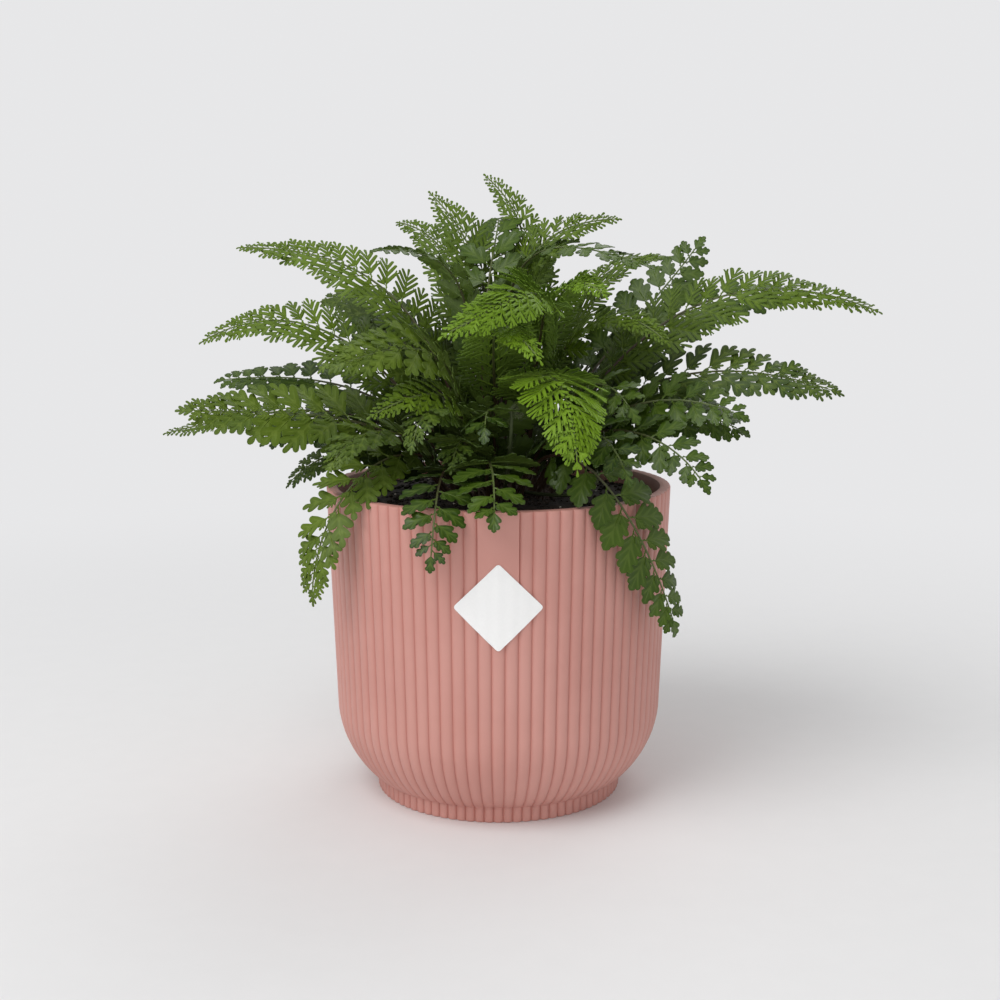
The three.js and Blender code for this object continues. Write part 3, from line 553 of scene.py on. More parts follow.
# %% What is said of each frond: one row of a table
# Name and kind of leaflet; seat on the crown (distance, angle); tip (heading, distance, height);
# slope at the crown and how far it holds; slope at the tip and how far it holds; turn of the tip;
# roll of the blade; bare share of the stalk; longest leaflet; age (0 is a young bright frond, 1
# an old dark one). Lengths are in millimetres, angles in degrees.
Frond = namedtuple(
    "Frond",
    "name kind seat_radius seat_angle heading reach height launch rise landing run turn roll "
    "bare leaflet age",
)
TABLE = """
left_low_cut cut 24 -168 -164 161 211 52 0.42 5 0.4 0 50 0.2 33 0.35
left_low_dark fine 24 176 178 180 193 55 0.42 -14 0.4 0 35 0.3 22 0.6
left_back_broad broad 24 158 162 164 218 60 0.42 -6 0.4 0 30 0.26 22 0.7
left_mid_fine fine 17 174 173 162 242 60 0.48 -28 0.42 0 45 0.27 29 0.3
left_high_fine fine 11 165 163 150 292 76 0.55 0 0.42 0 40 0.32 28 0.3
left_deep_cut cut 24 138 140 132 262 68 0.45 -10 0.4 0 35 0.24 29 0.7
top_left_fine fine 9 100 140 47 320 92 0.62 38 0.3 0 50 0.38 27 0.5
top_left_back fine 14 130 133 83 306 82 0.55 8 0.4 0 40 0.3 25 0.5
top_fine fine 8 30 98 45 330 82 0.62 40 0.25 60 45 0.4 23 0.45
top_right_fine fine 3 -20 9 64 307 88 0.6 2 0.42 0 -45 0.34 25 0.5
top_right_broad broad 6 -120 -29 83 284 96 0.8 -18 0.55 15 -10 0.3 21 0.55
top_left_broad broad 11 -150 -139 77 291 86 0.7 0 0.45 0 10 0.3 21 0.6
front_arch_long feather 10 -50 -102 118 253 74 0.9 -24 0.5 -52 30 0.3 28 0.25
front_left_cut cut 17 -135 -129 116 238 78 0.5 -20 0.5 -35 42 0.3 31 0.35
front_left_fine fine 18 -112 -122 112 214 68 0.5 -26 0.45 -32 38 0.22 25 0.3
front_dark_cut cut 24 -100 -113 103 202 72 0.45 -58 0.45 0 0 0.18 26 0.7
front_bright_fine feather 19 -66 -74 130 196 76 0.8 -76 0.4 0 0 0.36 37 0
front_arch_fine feather 13 -90 -80 106 242 80 0.62 -42 0.45 40 0 0.34 28 0.1
front_small_fine feather 16 -36 -61 103 270 80 0.6 -24 0.4 0 -20 0.4 22 0.2
right_high_broad broad 15 8 18 114 292 66 0.45 52 0.32 0 -45 0.34 24 0.5
right_back_broad broad 22 10 12 168 267 63 0.5 0 0.4 0 -35 0.36 23 0.5
right_mid_fine fine 17 -14 -3 199 259 62 0.5 -22 0.42 0 -45 0.33 29 0.5
right_low_cut cut 24 -4 -8 175 219 62 0.46 -18 0.4 0 -45 0.3 28 0.85
right_front_broad broad 24 -24 -23 129 210 62 0.42 -20 0.4 0 -45 0.18 23 0.6
right_droop_broad broad 25 -42 -37 124 180 64 0.5 -50 0.4 0 -40 0.16 23 0.7
front_right_dark broad 25 -60 -57 110 188 72 0.42 -55 0.45 0 -25 0.14 25 0.85
rim_right_broad broad 30 -72 -34 107 105 44 0.9 -70 0.54 66 -70 0.32 27 0.45
rim_front_broad broad 30 -100 -91 109 170 60 0.4 -45 0.45 0 0 0.14 27 0.6
rim_front_dark broad 29 -122 -107 109 148 50 0.5 -74 0.42 0 0 0.26 22 0.9
rim_left_cut cut 24 -148 -146 113 121 58 0.55 -86 0.56 0 20 0.2 30 0.3
left_droop_dark cut 30 172 175 113 167 48 0.42 -45 0.4 0 35 0.12 23 0.9
inner_left_cut cut 18 -158 -156 94 234 72 0.5 -34 0.4 0 40 0.14 28 0.45
inner_left_broad broad 18 150 150 100 248 74 0.5 -6 0.4 0 35 0.16 23 0.75
low_left_broad broad 31 -170 -174 120 193 56 0.42 -28 0.4 0 40 0.12 23 0.85
low_front_cut cut 31 -138 -140 106 188 66 0.42 -52 0.45 0 20 0.12 27 0.55
inner_front_broad broad 30 -92 -95 76 206 80 0.5 -42 0.5 0 0 0.12 25 0.9
inner_front_cut cut 31 -112 -106 80 190 74 0.45 -50 0.45 0 0 0.1 26 0.8
inner_right_fine fine 10 -12 -34 100 246 82 0.55 -40 0.45 0 -30 0.22 26 0.45
inner_right_broad broad 21 -34 -44 90 214 76 0.5 -50 0.45 0 -30 0.14 25 0.6
low_right_broad broad 31 8 4 130 195 58 0.42 -28 0.4 0 -42 0.12 24 0.75
inner_back_cut cut 20 62 62 104 252 74 0.5 -8 0.4 0 0 0.14 29 0.6
inner_back_fine fine 20 128 124 108 244 72 0.5 -8 0.4 0 0 0.14 28 0.5
back_left_low cut 31 138 142 136 190 54 0.42 -34 0.4 0 10 0.12 27 0.8
back_right_rim broad 31 44 42 134 186 54 0.42 -38 0.4 0 -10 0.12 24 0.8
top_back_broad broad 12 -118 90 58 308 80 0.62 12 0.4 0 10 0.36 23 0.55
back_right_high fine 14 50 34 128 284 74 0.5 -14 0.4 0 -10 0.26 28 0.5
back_right_mid cut 24 40 48 150 240 64 0.45 -10 0.4 0 12 0.18 29 0.6
back_right_low broad 27 26 26 150 196 54 0.42 -32 0.4 0 -8 0.14 24 0.7
back_high broad 15 90 72 110 290 78 0.5 -16 0.4 0 10 0.26 24 0.6
back_low_cut cut 24 78 84 150 212 58 0.42 -30 0.4 0 -12 0.14 30 0.5
back_mid_fine fine 19 104 104 122 262 72 0.5 -22 0.4 0 8 0.2 28 0.4
back_left_broad broad 24 118 120 152 222 60 0.42 -28 0.4 0 14 0.14 24 0.7
back_rim_broad broad 27 98 98 128 180 48 0.42 -40 0.4 0 0 0.16 23 0.8
back_rim_cut cut 27 58 60 126 174 50 0.42 -45 0.4 0 0 0.16 25 0.6
"""


def frond_of(row):
    name, kind, *numbers = row.split()
    return Frond(name, kind, *map(float, numbers))


FRONDS = [frond_of(row) for row in TABLE.strip().splitlines()]
print(len(FRONDS), "fronds of the kinds", sorted({frond.kind for frond in FRONDS}))

# %% A frond's curve
SEAT_HEIGHT = 165.0
CURVE_STEPS = 60


def direction(heading, slope):
    """One millimetre towards a heading, uphill by the slope"""
    level = math.cos(math.radians(slope))
    return polar(level, heading, math.sin(math.radians(slope)))


class Curve:
    """A cubic curve from the crown to the tip of a frond"""

    def __init__(self, frond):
        start = polar(frond.seat_radius, frond.seat_angle, SEAT_HEIGHT)
        end = polar(frond.reach, frond.heading, frond.height)
        span = (end - start).length
        leave = start + direction(frond.seat_angle, frond.launch) * frond.rise * span
        land = end - direction(frond.heading + frond.turn, frond.landing) * frond.run * span
        self.knots = [start, leave, land, end]
        places = [self.point(i / CURVE_STEPS) for i in range(CURVE_STEPS + 1)]
        steps = [(b - a).length for a, b in zip(places, places[1:])]
        self.lengths = np.concatenate(([0.0], np.cumsum(steps)))

    def point(self, share):
        a, b, c, d = self.knots
        rest = 1 - share
        return a * rest**3 + b * 3 * rest**2 * share + c * 3 * rest * share**2 + d * share**3

    def tangent(self, share):
        a, b, c, d = self.knots
        rest = 1 - share
        slope = (b - a) * rest**2 + (c - b) * 2 * rest * share + (d - c) * share**2
        return slope.normalized()

    def distance(self, share):
        """How much of the stalk lies below a share of the curve"""
        return float(np.interp(share * CURVE_STEPS, range(CURVE_STEPS + 1), self.lengths))

    def share_at(self, distance):
        return float(np.interp(distance, self.lengths, range(CURVE_STEPS + 1))) / CURVE_STEPS


longest = max(Curve(frond).distance(1) for frond in FRONDS)
print("the longest frond is", round(longest), "mm long, with its stalk")

# %% Which way a frond faces
Pose = namedtuple("Pose", "at along side lift")
UP = Vector((0, 0, 1))


def pose_at(frond, curve, share):
    """Where the frond is, with its directions: along, to its right, and out of its upper face"""
    along = curve.tangent(share)
    flow = curve.knots[3] - curve.knots[1]
    level = Vector((flow.x, flow.y, 0)).normalized().cross(UP)
    right = (level - along * level.dot(along)).normalized()
    lift = right.cross(along)
    roll = math.radians(frond.roll) * smooth(share, frond.bare * 0.6, frond.bare)
    side = right * math.cos(roll) + lift * math.sin(roll)
    return Pose(curve.point(share), along, side, side.cross(along))


middle = pose_at(FRONDS[0], Curve(FRONDS[0]), 0.5)
print("half way along,", FRONDS[0].name, "is at", [round(part) for part in middle.at], "mm")

# %% [markdown]
# ## How a leaflet is cut
# All the leaflets on this plant are one idea with other numbers: a midrib, veins that leave it
# at a slope, and a finger of leaf round each vein. Where the fingers stay apart the leaflet is a
# small feather; where they are joined for most of their length it is a lobed or a toothed leaf.
# Each finger grows along its vein until it meets the leaflet's outline. Drawing each leaflet as
# a picture on a card would be lighter, but a card has no thickness and no edge to catch light.

# %% The cuts of leaf: four kinds of leaflet, and the small lobes at their feet
# slope: of the veins, in degrees; fan: how much steeper they are at the foot than at the tip;
# spacing: between veins, in mm; fill: a finger's width as a share of it; neck: the share of that
# width at the finger's foot; web: how far fingers are joined; foot, end: where the first and the
# last stand, as shares of the length; spread, widest: half the leaflet's width, and where that
# is; fork: the share of fingers that fork; fold, droop: how the leaflet bends at its midrib and
# towards its tip.
Cut = namedtuple("Cut", "slope fan spacing fill neck web foot end spread widest fork fold droop")
CUTS = {
    "fine": Cut(33, 10, 2.3, 0.68, 0.75, 0.12, 0.12, 0.74, 0.25, 0.62, 0.3, 0.16, 0.16),
    "feather": Cut(30, 14, 2.1, 0.6, 0.7, 0.1, 0.1, 0.78, 0.25, 0.6, 0.85, 0.1, 0.2),
    "cut": Cut(36, 10, 3.4, 0.86, 0.9, 0.36, 0.14, 0.72, 0.27, 0.58, 0.0, 0.12, 0.16),
    "broad": Cut(38, 14, 3.2, 1.02, 1.0, 0.84, 0.14, 0.76, 0.3, 0.6, 0.0, 0.14, 0.16),
    "fine_ear": Cut(32, 10, 2.0, 0.74, 0.8, 0.2, 0.1, 0.6, 0.34, 0.66, 0.2, 0.05, 0.05),
    "cut_ear": Cut(34, 10, 2.4, 0.86, 0.9, 0.4, 0.14, 0.66, 0.34, 0.62, 0.0, 0.05, 0.05),
    "broad_ear": Cut(38, 10, 2.4, 1.02, 1.0, 0.86, 0.16, 0.76, 0.36, 0.62, 0.0, 0.05, 0.05),
}
print("cuts of leaf:", *CUTS)

# %% The outline, and how far a finger grows


def outline_width(cut, share):
    """Half the width of the whole leaflet at a share of its length, in shares of the length"""
    if not 0 < share < 1:
        return 0.0
    bulge = math.log(0.5) / math.log(cut.widest)
    return cut.spread * math.sin(math.pi * share**bulge) ** 0.6


def finger_length(cut, length, root, slope):
    """Grow a finger from its place on the midrib until it meets the outline"""
    step = length * 0.01
    reach = step
    while reach * math.sin(slope) < length * outline_width(
        cut, (root + reach * math.cos(slope)) / length
    ):
        reach += step
    return reach


lobe = finger_length(CUTS["broad"], 20, 8, math.radians(CUTS["broad"].slope))
print(f"a finger in the middle of a broad leaflet of 20 mm grows {lobe:.1f} mm")

# %% A flat sheet, and one finger of it


class Sheet:
    """A leaflet before it is given thickness: points along, across and up, and how near a vein"""

    def __init__(self):
        self.points = []
        self.veins = []
        self.faces = []

    def point(self, place, rise=0.0, vein=0.0):
        """Add a point and give back its number"""
        self.points.append((place[0], place[1], rise))
        self.veins.append(vein)
        return len(self.points) - 1

    def finger(self, rear, front, root, axis, across, length, width, neck, forked):
        """A finger between two notches; its vein leaves the midrib at the root"""
        rear_place, front_place = [Vector(self.points[i][:2]) for i in (rear, front)]
        start = ((rear_place - root).dot(axis) + (front_place - root).dot(axis)) / 2
        shoulder = max(length - width * (1.2 if forked else 0.45), start + (length - start) * 0.5)
        heart_place = root + axis * start
        heart = self.point(heart_place, 0.1, 1.0)
        bend = self.point(root + axis * lerp(start, shoulder, 0.55), 0.14, 1.0)
        crown = self.point(root + axis * (shoulder + (width * 0.25 if forked else 0)), 0.06, 0.7)
        edges = []
        for notch, place, side in ((rear, rear_place, -1), (front, front_place, 1)):
            end = root + axis * shoulder + across * (side * width / 2)
            foot = notch if neck == 1 else self.point(heart_place.lerp(place, neck))
            foot_place = Vector(self.points[foot][:2])
            middle = foot_place.lerp(end, 0.55) + across * (side * width * 0.07)
            edges.append((foot, self.point(middle), self.point(end)))
        (rear_foot, rear_mid, rear_end), (front_foot, front_mid, front_end) = edges
        self.faces += [(rear_foot, heart, bend, rear_mid), (heart, front_foot, front_mid, bend)]
        self.faces += [(rear_mid, bend, crown, rear_end), (bend, front_mid, front_end, crown)]
        tip = None if forked else self.point(root + axis * length, 0, 0.2)
        outward = width * (0.78 if forked else 0.3)
        for corner, side in ((rear_end, -1), (front_end, 1)):
            outer = root + axis * (length - width * 0.12) + across * (side * outward)
            outer = self.point(outer)
            if forked:
                tine = root + axis * (length + width * 0.05)
                tip = self.point(tine + across * (side * width * 0.36))
            self.faces += [(corner, crown, outer), (crown, tip, outer)]
        rear_side = [heart] if rear_foot == rear else [heart, rear_foot]
        front_side = [heart] if front_foot == front else [front_foot, heart]
        return rear_side + [rear], [front] + front_side


# %% The veins of a leaflet, and the fingers on one side of it
Midrib = namedtuple("Midrib", "pitch width roots slopes points hearts")
JOINED = 0.3
FIRST_NOTCH, LEAST_NOTCH = 0.3, 0.45


def midrib_of(sheet, cut, length, draw):
    """Where the veins leave the midrib and how steeply, and the sheet's points along it"""
    slope = math.radians(cut.slope + draw.uniform(-3, 3))
    blade = (cut.end - cut.foot) * length
    fewest = 2 if cut.web > JOINED else 1
    count = max(fewest, round(blade * math.sin(slope) / cut.spacing))
    pitch = blade / count
    roots = [cut.foot * length + pitch * i for i in range(count + 1)]
    slopes = [slope + math.radians(cut.fan * (0.5 - i / count)) for i in range(count + 1)]
    points = [sheet.point((root, 0), 0.0, 1.0) for root in roots]
    hearts = [sheet.point((root + pitch / 2, 0), 0.0, 1.0) for root in roots[:-1]]
    return Midrib(pitch, pitch * math.sin(slope) * cut.fill, roots, slopes, points, hearts)


def add_side(sheet, cut, length, side, midrib, draw):
    """All the fingers on one side; gives back the notch between the last one and the tip"""
    axes = [Vector((math.cos(turn), side * math.sin(turn))) for turn in midrib.slopes]
    middles = [root + midrib.pitch / 2 for root in midrib.roots[:-1]]
    lengths = [
        finger_length(cut, length, middle, turn) * draw.uniform(0.88, 1.1)
        for middle, turn in zip(middles, midrib.slopes)
    ]
    after = lengths[1:] + [finger_length(cut, length, midrib.roots[-1], midrib.slopes[-1])]
    webs = [max(cut.web * min(pair), LEAST_NOTCH) for pair in zip(lengths, after)]
    webs.insert(0, FIRST_NOTCH)
    notches = [
        sheet.point(Vector((root, 0)) + axis * web, -0.06)
        for root, axis, web in zip(midrib.roots, axes, webs)
    ]
    for i, reach in enumerate(lengths):
        axis = axes[i]
        across = Vector((axis.y * side, -axis.x * side))
        width = min(midrib.width, reach * 0.8) * draw.uniform(0.88, 1.12)
        forked = draw.random() < cut.fork and reach > 2.2 * width
        reach = max(reach, webs[i] + 0.4)
        root = Vector((middles[i], 0))
        rear, front = sheet.finger(
            *notches[i : i + 2], root, axis, across, reach, width, cut.neck, forked
        )
        sheet.faces.append((midrib.points[i], midrib.hearts[i], *rear))
        sheet.faces.append((midrib.hearts[i], midrib.points[i + 1], *front))
    return notches[-1]


# %% The whole sheet: a midrib, its two sides and the finger at the tip
SMALL, LARGE = 3, 15


def leaflet_sheet(kind, length, draw):
    """All the fingers of a leaflet; a small one is narrower, with fewer and closer fingers"""
    size = smooth(length, SMALL, LARGE)
    cut = CUTS[kind]
    cut = cut._replace(
        spread=cut.spread * lerp(0.75, 1, size),
        end=cut.end * lerp(lerp(0.5, 1, cut.web), 1, size),
        spacing=cut.spacing * lerp(0.6, 1, size),
    )
    sheet = Sheet()
    midrib = midrib_of(sheet, cut, length, draw)
    last = [add_side(sheet, cut, length, side, midrib, draw) for side in (-1, 1)]
    joined = 2.1 * cut.web * min(abs(sheet.points[notch][1]) for notch in last)
    width = max(midrib.width, 0.14 * length * (1 - size) + 0.6, joined)
    root = midrib.roots[-1]
    beyond = max(sheet.points[notch][0] for notch in last) - root
    reach = max(length - root, beyond + 0.5 * width)
    ahead, sideways = Vector((1, 0)), Vector((0, 1))
    start = Vector((root, 0))
    rear, front = sheet.finger(*last, start, ahead, sideways, reach, width, cut.neck, False)
    sheet.faces += [(midrib.points[-1], *rear), (midrib.points[-1], *front)]
    return sheet


flat_leaflet = leaflet_sheet("broad", 20, random.Random(1))
print("a broad leaflet of 20 mm, flat:", len(flat_leaflet.faces), "faces")

# %% [markdown]
# A leaf is thin but it isn't paper. The sheet gets a lower face and an edge, it is folded a
# little at the midrib, it droops towards its tip and it waves. A slender midrib, a four-sided
# tube, runs underneath and on into the stalk, and holds the leaflet there.

# %% The edge of a sheet, and the rib under it
BLADE = 0.34
RIB_STEPS = 5
RIB_START, RIB_END = -0.8, 0.84


def rim_of(faces):
    """The edges that only one face has, in order of finding"""
    seen = {}
    for face in faces:
        for a, b in zip(face, face[1:] + face[:1]):
            seen.setdefault(frozenset((a, b)), []).append((a, b))
    return [edges[0] for edges in seen.values() if len(edges) == 1]


def rib_under(droop, length, first):
    """Points and faces of a tapering four-sided tube; its points are numbered from first"""
    points, faces = [], []
    for step in range(RIB_STEPS + 1):
        share = step / RIB_STEPS
        at = lerp(RIB_START, RIB_END * length, share)
        thick = lerp(0.42, 0.16, share) * (0.6 + 0.4 * min(length / 20, 1))
        height = -droop * max(at, 0) ** 2 / length - 0.05
        tall = thick * 1.1
        points += [(at, thick, height), (at, 0, height + tall), (at, -thick, height)]
        points.append((at, 0, height - tall))
        low = first + 4 * (step - 1)
        if step:
            sides = zip(range(4), (1, 2, 3, 0))
            faces += [(low + i, low + j, low + 4 + j, low + 4 + i) for i, j in sides]
    end = first + 4 * RIB_STEPS
    faces += [tuple(first + i for i in (3, 2, 1, 0)), tuple(end + i for i in range(4))]
    return points, faces


print("the rib of a leaflet has", len(rib_under(0, 20, 0)[0]), "points")

# %% From a sheet to a leaflet with thickness, and its small lobe
Leaflet = namedtuple("Leaflet", "points faces veins unders")
EARS = {"fine": "fine_ear", "feather": "fine_ear", "cut": "cut_ear", "broad": "broad_ear"}
EAR_FROM = 10
EAR_SIZE = 0.36
EAR_PLACE = 0.1
EAR_TURN = math.radians(46)


def leaflet_solid(kind, length, draw):
    """A leaflet in its own directions: along, across towards the frond's tip, and up"""
    cut = CUTS[kind]
    sheet = leaflet_sheet(kind, length, draw)
    flat = np.array(sheet.points)
    along, across, rise = flat.T
    fold = cut.fold * draw.uniform(0.3, 1.5)
    wave = draw.uniform(0, 10)
    ripple = [0.5 * noise.noise(Vector((a * 0.16, b * 0.16, wave))) for a, b in flat[:, :2]]
    rise = rise + fold * np.abs(across) - cut.droop * along**2 / length + ripple
    count = len(flat)
    upper = np.column_stack((along, across, rise + BLADE / 2))
    lower = np.column_stack((along, across, rise - BLADE / 2))
    rib, rib_faces = rib_under(cut.droop, length, 2 * count)
    faces = sheet.faces + [tuple(count + i for i in reversed(face)) for face in sheet.faces]
    faces += [(b, a, count + a, count + b) for a, b in rim_of(sheet.faces)] + rib_faces
    veins = sheet.veins * 2 + [1.0] * len(rib)
    unders = [0.0] * count + [1.0] * count + [0.0] * len(rib)
    solid = Leaflet(np.vstack((upper, lower, rib)), faces, veins, unders)
    return with_ear(solid, kind, length, draw) if kind in EARS and length > EAR_FROM else solid


def with_ear(solid, kind, length, draw):
    """Leaflets carry a small lobe of their own at the foot, on the side of the frond's tip"""
    ear = leaflet_solid(EARS[kind], length * EAR_SIZE, draw)
    along, across, rise = ear.points.T
    turned = (
        length * EAR_PLACE + along * math.cos(EAR_TURN) - across * math.sin(EAR_TURN),
        along * math.sin(EAR_TURN) + across * math.cos(EAR_TURN),
        rise + 0.1,
    )
    count = len(solid.points)
    return Leaflet(
        np.vstack((solid.points, np.column_stack(turned))),
        solid.faces + [tuple(count + i for i in face) for face in ear.faces],
        solid.veins + ear.veins,
        solid.unders + ear.unders,
    )


sample = leaflet_solid("fine", 27, random.Random(1))
print("a fine leaflet of 27 mm:", len(sample.faces), "faces")

# %% [markdown]
# ## How leaflets find their place
# Fronds of a full plant lie over each other, and a leaflet that meets another bends away from
# it. Each new leaflet is therefore tried flat, then bent up or down in steps, against all that
# is already there, and against the wall of the pot. Only a coarse fan stands for it in the
# test, because the question is where it is and not what its edge looks like.

# %% What is already in place
MOST_LEAFLETS = 6000
FAN = [[0.12, 0], [0.36, -0.26], [0.72, -0.2], [1, 0], [0.74, 0.2], [0.4, 0.27]]
FAN_FACES = [(0, 1, 2), (0, 2, 3), (0, 3, 4), (0, 4, 5)]


class Crowd:
    """Coarse leaflets in place, with their boxes, to ask whether a new one touches any"""

    def __init__(self):
        self.lows = np.zeros((MOST_LEAFLETS, 3))
        self.highs = np.zeros((MOST_LEAFLETS, 3))
        self.trees = []

    def touches(self, points):
        low, high = points.min(0), points.max(0)
        count = len(self.trees)
        meeting = (self.lows[:count] < high).all(1) & (self.highs[:count] > low).all(1)
        near = np.nonzero(meeting)[0]
        if len(near) == 0:
            return False
        tree = BVHTree.FromPolygons(points.tolist(), FAN_FACES)
        return any(tree.overlap(self.trees[i]) for i in near)

    def add(self, points):
        count = len(self.trees)
        self.lows[count], self.highs[count] = points.min(0), points.max(0)
        self.trees.append(BVHTree.FromPolygons(points.tolist(), FAN_FACES))


def meets_pot(points):
    """Whether any point lies in the pot's wall, in its soil or too near them"""
    radius = np.hypot(points[:, 0], points[:, 1])
    height = points[:, 2]
    crest = np.interp(height, [0, BELLY_TOP, POT_HEIGHT], [70, WALL_FOOT_RADIUS, RIM_RADIUS])
    in_wall = (height < POT_HEIGHT + 1) & (radius < crest + 1.2) & (radius > crest - WALL - 1)
    in_soil = (height < SOIL_TOP + 2) & (radius < crest - WALL)
    return bool((in_wall | in_soil).any())


print("a place in the wall meets the pot:", meets_pot(np.array([[90.0, 0.0, 150.0]])))

# %% [markdown]
# ## A whole frond
# The stalk is a tube with a groove along its upper side, as on the real plant, brown and wiry at
# the foot and green further up. Leaflets leave it to the right and to the left in turn. They
# are longest a quarter of the way up the blade, and get smaller and closer towards the tip.

# %% A tube along a curve, and the stalk
STALK_WIDTH = 2.3
TIP_WIDTH = 0.75
SEAT_DEPTH = 9.0
STALK_SECTION = [(-0.5, 0.1), (-0.3, 0.34), (-0.1, 0.2), (0.1, 0.2), (0.3, 0.34), (0.5, 0.1)]
STALK_SECTION += [(0.36, -0.34), (0, -0.52), (-0.36, -0.34)]
STALK_STEPS = 34
BLADE_END = 0.985


def stalk_width(share):
    """Thick at the crown, wiry at the tip"""
    return lerp(STALK_WIDTH, TIP_WIDTH, share**0.6)


def add_tube(shape, poses, widths, section, finish=1, **marks):
    """A closed tube through the poses; marks have one value for each pose"""
    rings = []
    for i, (pose, width) in enumerate(zip(poses, widths)):
        here = {mark: values[i] for mark, values in marks.items()}
        places = [pose.at + pose.side * (u * width) + pose.lift * (v * width) for u, v in section]
        rings.append([shape.point(place, **here) for place in places])
    for low, high in zip(rings, rings[1:]):
        shape.band(low, high, finish=finish)
    shape.face(*rings[0], finish=finish)
    shape.face(*rings[-1], finish=finish)


def sink(poses):
    """The pose below the first one, down in the crown, where a stalk starts"""
    first = poses[0]
    return first._replace(at=first.at - first.along * SEAT_DEPTH)


def add_stalk(shape, frond, curve):
    shares = [BLADE_END * i / STALK_STEPS for i in range(STALK_STEPS + 1)]
    poses = [pose_at(frond, curve, share) for share in shares]
    poses.insert(0, sink(poses))
    shares.insert(0, 0.0)
    widths = [stalk_width(share) for share in shares]
    add_tube(shape, poses, widths, STALK_SECTION, along=shares, age=[frond.age] * len(shares))


print("a stalk is", stalk_width(0), "mm wide at the crown and", stalk_width(1), "mm at the tip")

# %% How large a leaflet is, and which way it grows
Growth = namedtuple("Growth", "origin reach across normal")
PITCH = {"fine": 0.42, "feather": 0.3, "cut": 0.45, "broad": 0.57}
LEAN = {"fine": 58, "feather": 56, "cut": 60, "broad": 74}
TAPER = {"fine": 1.9, "feather": 2.2, "cut": 2.1, "broad": 2.8}
TIP_SIZE = {"fine": 0.14, "feather": 0.16, "cut": 0.26, "broad": 0.36}


def leaflet_size(kind, along):
    """The length of a leaflet, as a share of the longest, at a share of the blade"""
    return (1 - 0.35 * (1 - along) ** 4) * lerp(1, TIP_SIZE[kind], along ** TAPER[kind])


def growth_at(pose, width, right, lean, bend, shingle):
    """The directions of a leaflet that leaves the stalk at this pose"""
    side = pose.side if right else -pose.side
    rise = math.radians(bend)
    lifted = side * math.cos(rise) + pose.lift * math.sin(rise)
    reach = pose.along * math.cos(lean) + lifted * math.sin(lean)
    flat = pose.along * math.sin(lean) - lifted * math.cos(lean)
    normal = reach.cross(flat) if right else flat.cross(reach)
    across = flat * math.cos(shingle) + normal * math.sin(shingle)
    up = reach.cross(across) if right else across.cross(reach)
    return Growth(pose.at + side * (width * 0.4), reach, across, up)


def spread_out(growth, local):
    """Local points of a leaflet, put into the frond"""
    axes = np.array([growth.reach, growth.across, growth.normal])
    return np.array(growth.origin) + local @ axes


def fan_of(growth, length):
    """The coarse leaflet that stands for a fine one in the test"""
    local = np.array([(a * length, b * length, -0.16 * a * a * length) for a, b in FAN])
    return spread_out(growth, local)


print("size of the middle leaflets:", {kind: round(leaflet_size(kind, 0.5), 2) for kind in PITCH})

# %% The leaflets of a frond, one after the other
BENDS = [0, 9, -9, 18, -18, 28, -28, 40, -40, 54]
LOWEST = 0.72
SHORTEST = 3.2
CLOSEST = 1.4
TIP_EXTRA = 0.08


def add_leaflet(shape, frond, growth, length, along, draw):
    """One leaflet, grown in its own directions and put into the frond"""
    leaflet = leaflet_solid(frond.kind, length, draw)
    marks = {"vein": leaflet.veins, "under": leaflet.unders, "tone": draw.random()}
    places = spread_out(growth, leaflet.points)
    shape.blend_in(places, leaflet.faces, along=along, age=frond.age, **marks)


def add_leaflets(shape, frond, curve, crowd, draw):
    """Leaflets to the right and to the left in turn, bent clear of what is there already"""
    start, end = curve.distance(frond.bare * LOWEST), curve.distance(BLADE_END)
    at, right = start, False
    while at < end:
        along = (at - start) / (end - start)
        share = curve.share_at(at)
        pose = pose_at(frond, curve, share)
        right = not right
        size = leaflet_size(frond.kind, along) * draw.uniform(0.92, 1.08)
        length = max(frond.leaflet * size, SHORTEST)
        at += max(length * PITCH[frond.kind] / 2, CLOSEST) * draw.uniform(0.85, 1.15)
        lean = math.radians(LEAN[frond.kind] - 20 * along + draw.uniform(-6, 6))
        shingle = math.radians(draw.uniform(8, 22))
        lift = draw.uniform(2, 10)
        width = stalk_width(share)
        tries = [growth_at(pose, width, right, lean, lift + bend, shingle) for bend in BENDS]
        fans = [fan_of(growth, length) for growth in tries]
        dry = [i for i, fan in enumerate(fans) if not meets_pot(fan)]
        clear = [i for i in dry if not crowd.touches(fans[i])]
        best = (clear or dry or [0])[0]
        crowd.add(fans[best])
        add_leaflet(shape, frond, tries[best], length, share, draw)


def add_tip(shape, frond, curve, draw):
    """The last leaflet goes straight on from the stalk"""
    pose = pose_at(frond, curve, BLADE_END)
    length = frond.leaflet * (TIP_SIZE[frond.kind] + TIP_EXTRA)
    add_leaflet(shape, frond, Growth(*pose), length, 1.0, draw)
